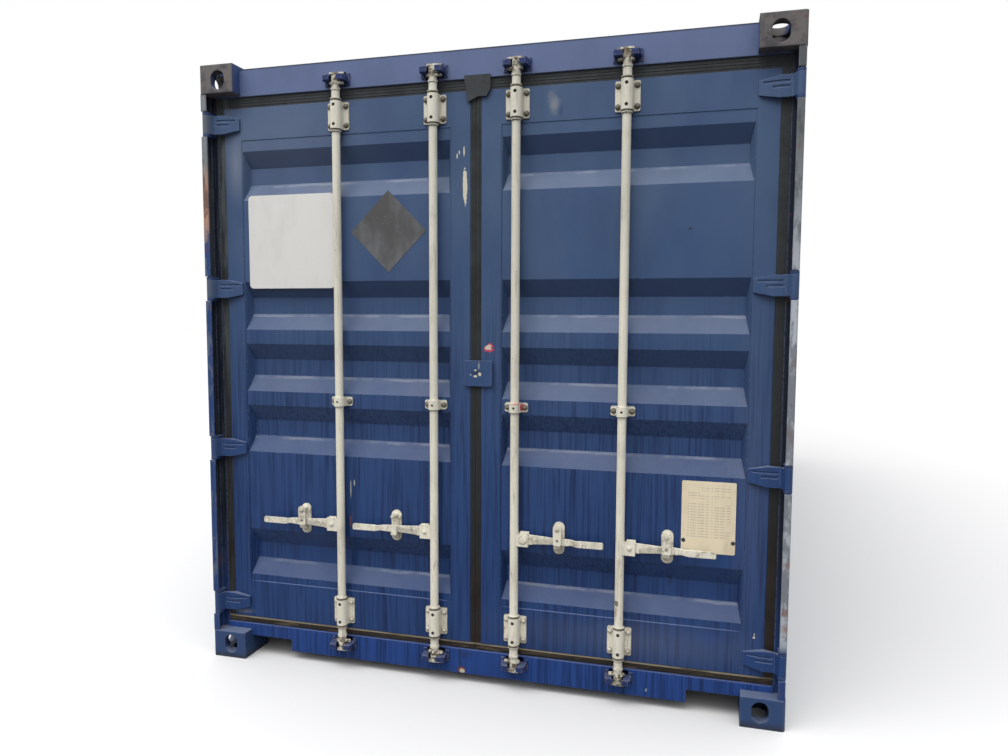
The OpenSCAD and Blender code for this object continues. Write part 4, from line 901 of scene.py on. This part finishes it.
class CONTAINER_OT_finish_gear(bpy.types.Operator):
    """Coats the bars, brackets, handles, retainers and hasps"""

    bl_idname = "container.finish_gear"
    bl_label = "Finish the door gear"

    def execute(self, context):
        paint, gear = context.scene.container_paint, context.scene.container_gear
        dirt, low = paint.gear_dirt, paint.gear_low
        brackets = (gear.bracket_low, gear.bracket_high)

        def stains(w, tint):
            """Clouds of dirt, fine upright runs, specks, and rust that has run down."""
            tint = w.lay(tint, dirt, w.clouds(13, 0.50, 0.76, 0.32, 5, 0.68, (1, 1, 0.35)))
            tint = w.lay(tint, dirt, w.clouds(130, 0.56, 0.70, 0.3, stretch=(1, 1, 0.05)))
            tint = w.lay(tint, toned(dirt, 0.5), w.clouds(170, 0.66, 0.73, 0.6, 2))
            bled = w.clouds(55, 0.57, 0.68, 1.0, 3, 0.7, (1, 1, 0.13), (4, 2, 0))
            return w.lay(tint, paint.rust, bled, w.step(w.here()[2], 0.85, 0.40, 0.0, 0.55))

        def handled(w, tint):
            """More dirt about the handles and their retainers."""
            patchy = w.clouds(38, 0.46, 0.68, 0.55, 4, 0.7, shift=(3, 1, 5))
            return w.lay(tint, dirt, w.band(0.65, 0.07), patchy)

        def joints(w, tint):
            """Grime and painted shade where the bars enter their brackets, and grime at the cams.
            """
            shift = w.waver(0.006)
            edges = w.most(*(w.band(middle + side * 0.060, 0.004, shift)
                             for middle in brackets for side in (-1, 1)))
            # Dark lines at the brackets' ends: grime and painted shade.
            tint = w.lay(tint, toned(dirt, 0.4), edges, 0.8)
            ends = w.most(w.band(2.500, 0.034), w.band(0.110, 0.034))
            return w.lay(tint, toned(dirt, 0.7), ends, w.clouds(70, 0.42, 0.58, 1.0, 4, 0.7))

        def bores(w, tint):
            """A black ring round the holes in the housings: painted shade that makes them look
            deeper.
            """
            x, _, z = w.here()
            aside = w.least_gap(x, [joint["pos_m"][0] for joint in BARS.values()])
            rise = w.least_gap(z, [middle + side * gear.bore_rise
                                   for middle in brackets for side in (-1, 1)])
            far = w.math("SQRT", w.plus(w.times(aside, aside), w.times(rise, rise)))
            return w.lay(tint, paint.grime_and_shade, w.step(far, 0.0075, 0.0058))

        def shaded_in_housings(w, tint):
            """The bars are painted black inside their housings, where only the holes show: painted
            shade.
            """
            inside = w.most(*(w.band(middle, 0.049) for middle in brackets),
                            w.band(gear.guide_at, 0.009))
            return w.lay(tint, toned(paint.grime_and_shade, 0.3), inside)

        def rims(w, tint):
            """Heads are cream low down, and darker round their sides everywhere: grime and painted
            shade.
            """
            tint = w.lay(tint, low, w.step(w.here()[2], 1.3, 0.5, 0.0, 0.75))
            return w.lay(tint, toned(dirt, 0.25), w.step(w.facing()[1], -0.75, -0.3, 0.0, 0.85))

        # The coat greys with height: dirt and painted shade.
        shared = {
            "faded": paint.gear_high_dirt_and_shade, "worn": dirt, "wear": 0.85, "rough": 0.5,
            "width": 0.003, "chips": 0.6, "dust": 0.0, "marks": (
                ((0.586, FACE_Y + 0.017, 0.420), (0.022, 0.03, 0.022), 0.9, 60, 0.8,
                 toned(dirt, 0.6)),
                ((0.198, FACE_Y + 0.050, 1.170), (0.017, 0.03, 0.019), 0.5, 60, 0.9,
                 paint.red_spray),
                ((0.176, FACE_Y + 0.030, 1.186), (0.026, 0.04, 0.005), 0.6, 60, 0.5,
                 paint.red_spray))}
        fittings = [n for n in frame["nodes"] if n.startswith(("handle_", "hasp_"))
                    or n.endswith(("_bar_brackets", "_handle_retainers"))]
        worn_paint("gear_coat", fittings, low, layers=(stains, handled, joints, bores), **shared)
        bars = [n for n in frame["nodes"] if n.startswith("locking_bar")]
        worn_paint("bar_coat", bars, low, layers=(stains, joints, shaded_in_housings), **shared)
        worn_paint(
            "bolt_steel", (), paint.bolt_steel, worn=low, wear=0.2, rough=0.55,
            width=0.001, chips=0.4, dust=0.1, layers=(rims, stains))
        return {"FINISHED"}


class CONTAINER_OT_add_bolts(bpy.types.Operator):
    """Adds bracket bolts and the rivets of handles and retainers"""

    bl_idname = "container.add_bolts"
    bl_label = "Add bolts and rivets"

    def execute(self, context):
        gear = context.scene.container_gear
        steel, coat = bpy.data.materials["bolt_steel"], bpy.data.materials["gear_coat"]
        bolt = dome_profile(gear.bolt_radius, gear.bolt_height)
        rivet = dome_profile(0.0085, 0.004, collar=1.05)
        for door in ("left_door", "right_door"):
            bars = [j["pos_m"][0] for j in BARS.values() if j["parent"] == door]
            places = [
                (bar + side * gear.bolt_side, FACE_Y + gear.bracket_face,
                 middle + rise * gear.bracket_bolts / 2)
                for bar in bars for side in (-1, 1)
                for middle in (gear.bracket_low, gear.bracket_high) for rise in (-1, 1)]
            places += [(bar + side * gear.bolt_side, FACE_Y + gear.guide_face, gear.guide_at)
                       for bar in bars for side in (-1, 1)]
            piece = add_piece(f"{door}_bolts", heads(places, bolt), steel, door)
            outward = math.copysign(gear.retainer_at, bars[0])
            places = [(bar + outward, FACE_Y + depth, height) for bar in bars
                      for depth, height in ((gear.boss_face, gear.boss_at),
                                            (gear.post_face, gear.post_at))]
            piece = add_piece(f"{door}_retainer_rivets", heads(places, rivet), steel, door)
        for bar, joint in BARS.items():
            x, _, z = joint["pos_m"]
            place = [(x + math.copysign(gear.rivet_at, x), FACE_Y + gear.hub_face, z)]
            radius = gear.disc_radius if bar == "bar_3" else gear.rivet_radius
            shape = heads(place, dome_profile(radius, 0.0045, collar=1.02))
            piece = add_piece(f"{bar}_rivet", shape, coat, bar)
        return {"FINISHED"}


class CONTAINER_OT_add_welds(bpy.types.Operator):
    """Adds weld beads under the door panels and beside the castings"""

    bl_idname = "container.add_welds"
    bl_label = "Add weld beads"

    def execute(self, context):
        paint, gear = context.scene.container_paint, context.scene.container_gear
        bead = worn_paint(
            "weld_paint", (), paint.weld_blue, wear=0.0, streaks=0.5, dust=0.1, chips=0.70)
        for door in ("left_door", "right_door"):
            low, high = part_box(f"{door}_panel")
            line = [[low.x, low.y, gear.panel_weld], [high.x, low.y, gear.panel_weld]]
            shape = beads([line], gear.bead_radius, (0, 1, 0), (0, 0, 1), gear.bead_pitch)
            piece = add_piece(f"{door}_weld", shape, bead, door)
        low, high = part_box("door_header")
        lines = [[[side * gear.casting_weld, low.y, low.z + 0.024],
                  [side * gear.casting_weld, low.y, high.z - 0.003]] for side in (-1, 1)]
        shape = beads(lines, gear.bead_radius, (1, 0, 0), (0, 1, 0), gear.bead_pitch, 60)
        piece = add_piece("header_welds", shape, bead, "frame")
        return {"FINISHED"}


class CONTAINER_OT_add_signs(bpy.types.Operator):
    """Adds the bare white sheet, the bare diamond and the bare data plate"""

    bl_idname = "container.add_signs"
    bl_label = "Add the signs"

    def execute(self, context):
        signs, paint = context.scene.container_signs, context.scene.container_paint
        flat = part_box("left_door_panel")[0].y
        sheet_depth, diamond_depth, plate_depth = 0.0015, 0.001, 0.002
        sheet = self.plain("white_sheet", signs.white, paint.grime_and_shade, 0.35, 0.12)
        rim = round_rectangle(signs.white_low, signs.white_high, 0.018)
        piece = add_piece("blank_sheet", slab(rim, flat, sheet_depth), sheet, "left_door", False)
        dark = self.plain("diamond_grey", signs.grey, paint.dust, 0.5, 0.3)
        turn = np.arange(4) * math.pi / 2
        tips = np.stack([np.cos(turn), np.sin(turn)], -1)
        rim = np.array(signs.diamond_at) + signs.diamond_reach * tips
        shape = slab(rim, flat, diamond_depth)
        piece = add_piece("blank_diamond", shape, dark, "left_door", False)
        cream = self.plain("plate_cream", signs.cream, paint.gear_dirt, 0.45, 0.35, self.rules)
        rim = round_rectangle(signs.plate_low, signs.plate_high, 0.006)
        piece = add_piece("data_plate", slab(rim, flat, plate_depth), cream, "right_door", False)
        places = [(x, flat - plate_depth, 0.680) for x in (0.8345, 1.0175)]
        screw = self.plain("screw_black", paint.grime_and_shade, paint.gear_dirt, 0.5, 0.4)
        shape = heads(places, dome_profile(0.0058, 0.003))
        piece = add_piece("data_plate_screws", shape, screw, "right_door")
        return {"FINISHED"}

    def rules(self, w, tint):
        """Rows of broken level rules, in three blocks, without any words."""
        x, _, z = w.here()
        row = w.math("FRACT", w.math("DIVIDE", z, 0.0105))
        line = w.times(w.step(row, 0.10, 0.30), w.step(row, 0.70, 0.50))
        broken = w.clouds(130, 0.40, 0.50, detail=2, stretch=(1, 1, 0.001))
        inside = w.times(w.step(x, 0.846, 0.850), w.step(x, 1.008, 1.004),
                         w.step(z, 0.688, 0.692), w.step(z, 0.898, 0.894))
        gaps = w.clouds(12, 0.36, 0.46, detail=1, stretch=(0.6, 1, 3), shift=(4, 0, 9))
        return w.lay(tint, toned(tint, 0.35), line, broken, inside, gaps, 0.4)

    def plain(self, name, tint, soil, rough, soiled, layer=None):
        """A painted sheet with faint clouds and specks of dirt."""
        material, w, shader = new_material(name)
        shade = layer(w, tint) if layer else tint
        shade = w.lay(shade, soil, w.clouds(9, 0.42, 0.8, soiled, 5, 0.68, (1, 1, 0.4)))
        shade = w.lay(shade, soil, w.clouds(160, 0.68, 0.74, soiled, 2))
        finish(w, shader, shade, rough, w.noise(w.place(), 60, 3), strength=0.05)
        return material


class CONTAINER_OT_set_stage(bpy.types.Operator):
    """Lays the pale floor and sets the light, the background and the camera"""

    bl_idname = "container.set_stage"
    bl_label = "Set the stage"

    def execute(self, context):
        stage = context.scene.container_stage
        self.lay_floor(stage)
        self.light_sky(context.scene, stage)
        self.hang_key(stage)
        self.stand_camera(context.scene, stage)
        context.scene.view_settings.view_transform = "Standard"
        return {"FINISHED"}

    def seen(self, w, shown, hidden):
        """shown for camera, mirror and glass rays, hidden for those that carry light."""
        path = w.add("ShaderNodeLightPath").outputs
        rays = [path[f"Is {kind} Ray"] for kind in ("Camera", "Glossy", "Transmission")]
        return w.mix(w.most(*rays), hidden, shown)

    def lay_floor(self, stage):
        """A flat square grid, pale to the eye and darker to the light it returns."""
        reach = np.linspace(-stage.floor_size, stage.floor_size, 9)
        x, y = np.meshgrid(reach, reach, indexing="ij")
        points = np.stack([x, y, np.zeros_like(x)], -1).reshape(-1, 3)
        here = np.arange(x.size).reshape(x.shape)
        quads = np.stack([here[:-1, :-1], here[1:, :-1], here[1:, 1:], here[:-1, 1:]], -1)
        mesh = bpy.data.meshes.new("studio_floor")
        mesh.from_pydata(points.tolist(), [], quads.reshape(-1, 4).tolist())
        floor = bpy.data.objects.new("studio_floor", mesh)
        bpy.context.scene.collection.objects.link(floor)
        material, w, shader = new_material("studio_floor")
        finish(w, shader, self.seen(w, (stage.pale,) * 3, (stage.ground,) * 3), 0.9)
        shader.inputs["Specular IOR Level"].default_value = 0.0
        mesh.materials.append(material)

    def light_sky(self, scene, stage):
        """A dome that brightens from the horizon to the zenith, plain and pale where seen."""
        world = bpy.data.worlds.new("studio_sky")
        scene.world = world
        world.use_nodes = True
        w = Weaver(world.node_tree)
        up = w.split(w.add("ShaderNodeTexCoord").outputs["Generated"])[2]
        tone = w.add("ShaderNodeMapRange", {
            0: up, 1: 0.0, 2: 1.0, 3: stage.horizon, 4: stage.zenith}).outputs[0]
        grey = w.add("ShaderNodeCombineColor", {0: tone, 1: tone, 2: tone}).outputs[0]
        back = next(n for n in world.node_tree.nodes if n.type == "BACKGROUND")
        w.join(self.seen(w, (1.0 / stage.sky,) * 3, grey), back.inputs["Color"])
        back.inputs["Strength"].default_value = stage.sky

    def hang_key(self, stage):
        """One large lamp high in front of the doors, steep enough to model their bends."""
        lamp = bpy.data.lights.new("key_light", "AREA")
        lamp.energy = stage.key_power
        lamp.shape = "RECTANGLE"
        lamp.size, lamp.size_y = 7.0, 4.0
        holder = bpy.data.objects.new("key_light", lamp)
        bpy.context.scene.collection.objects.link(holder)
        place = np.array([-1.6, CAD_LOW.y - 3.6, 7.8])
        aim = np.array([0.0, CAD_LOW.y, 1.3]) - place
        back = -aim / np.linalg.norm(aim)
        right = np.cross((0, 0, 1), back)
        right /= np.linalg.norm(right)
        self.put(holder, place, right, np.cross(back, right), back)

    def stand_camera(self, scene, stage):
        """The camera at the photographed angle: turned by yaw, tilted by pitch, then rolled."""
        lens = bpy.data.cameras.new("door_camera")
        lens.sensor_width = 36.0
        lens.lens = stage.lens
        lens.clip_end = 500.0
        camera = bpy.data.objects.new("door_camera", lens)
        scene.collection.objects.link(camera)
        forward = np.array([
            math.sin(stage.yaw) * math.cos(stage.pitch),
            math.cos(stage.yaw) * math.cos(stage.pitch), math.sin(stage.pitch)])
        level = np.cross(forward, (0, 0, 1))
        level /= np.linalg.norm(level)
        upright = np.cross(level, forward)
        right = math.cos(stage.roll) * level + math.sin(stage.roll) * upright
        self.put(camera, stage.camera_at, right, np.cross(right, forward), -forward)
        scene.camera = camera

    def put(self, holder, place, *axes):
        """Stands a lamp or a camera at a place, its X, Y and Z along the axes."""
        turned = Matrix(np.stack(axes, axis=1).tolist()).to_4x4()
        holder.matrix_world = Matrix.Translation(place) @ turned


class CONTAINER_PT_finish(bpy.types.Panel):
    """Lists the steps and the settings of the container's finish"""

    bl_idname = "CONTAINER_PT_finish"
    bl_label = "Container"
    bl_space_type = "VIEW_3D"
    bl_region_type = "UI"
    bl_category = "Container"

    def draw(self, context):
        for step in STEPS:
            self.layout.operator(step.bl_idname)
        for name, kind in SETTINGS.items():
            box = self.layout.box()
            box.label(text=kind.__doc__)
            for key in kind.__annotations__:
                box.prop(getattr(context.scene, name), key)


SETTINGS = {
    "container_paint": ContainerPaint,
    "container_signs": ContainerSigns,
    "container_gear": ContainerGear,
    "container_stage": ContainerStage,
}
STEPS = (
    CONTAINER_OT_finish_frame,
    CONTAINER_OT_finish_doors,
    CONTAINER_OT_finish_seals,
    CONTAINER_OT_finish_gear,
    CONTAINER_OT_add_bolts,
    CONTAINER_OT_add_welds,
    CONTAINER_OT_add_signs,
    CONTAINER_OT_set_stage,
)


def register():
    for kind in (*SETTINGS.values(), *STEPS, CONTAINER_PT_finish):
        bpy.utils.register_class(kind)
    for name, kind in SETTINGS.items():
        setattr(bpy.types.Scene, name, PointerProperty(type=kind))


def unregister():
    for name in SETTINGS:
        delattr(bpy.types.Scene, name)
    for kind in reversed((*SETTINGS.values(), *STEPS, CONTAINER_PT_finish)):
        bpy.utils.unregister_class(kind)


def main():
    """Runs every step on the loaded frame."""
    register()
    for step in STEPS:
        group, name = step.bl_idname.split(".")
        getattr(getattr(bpy.ops, group), name)()


if __name__ == "__main__":
    main()
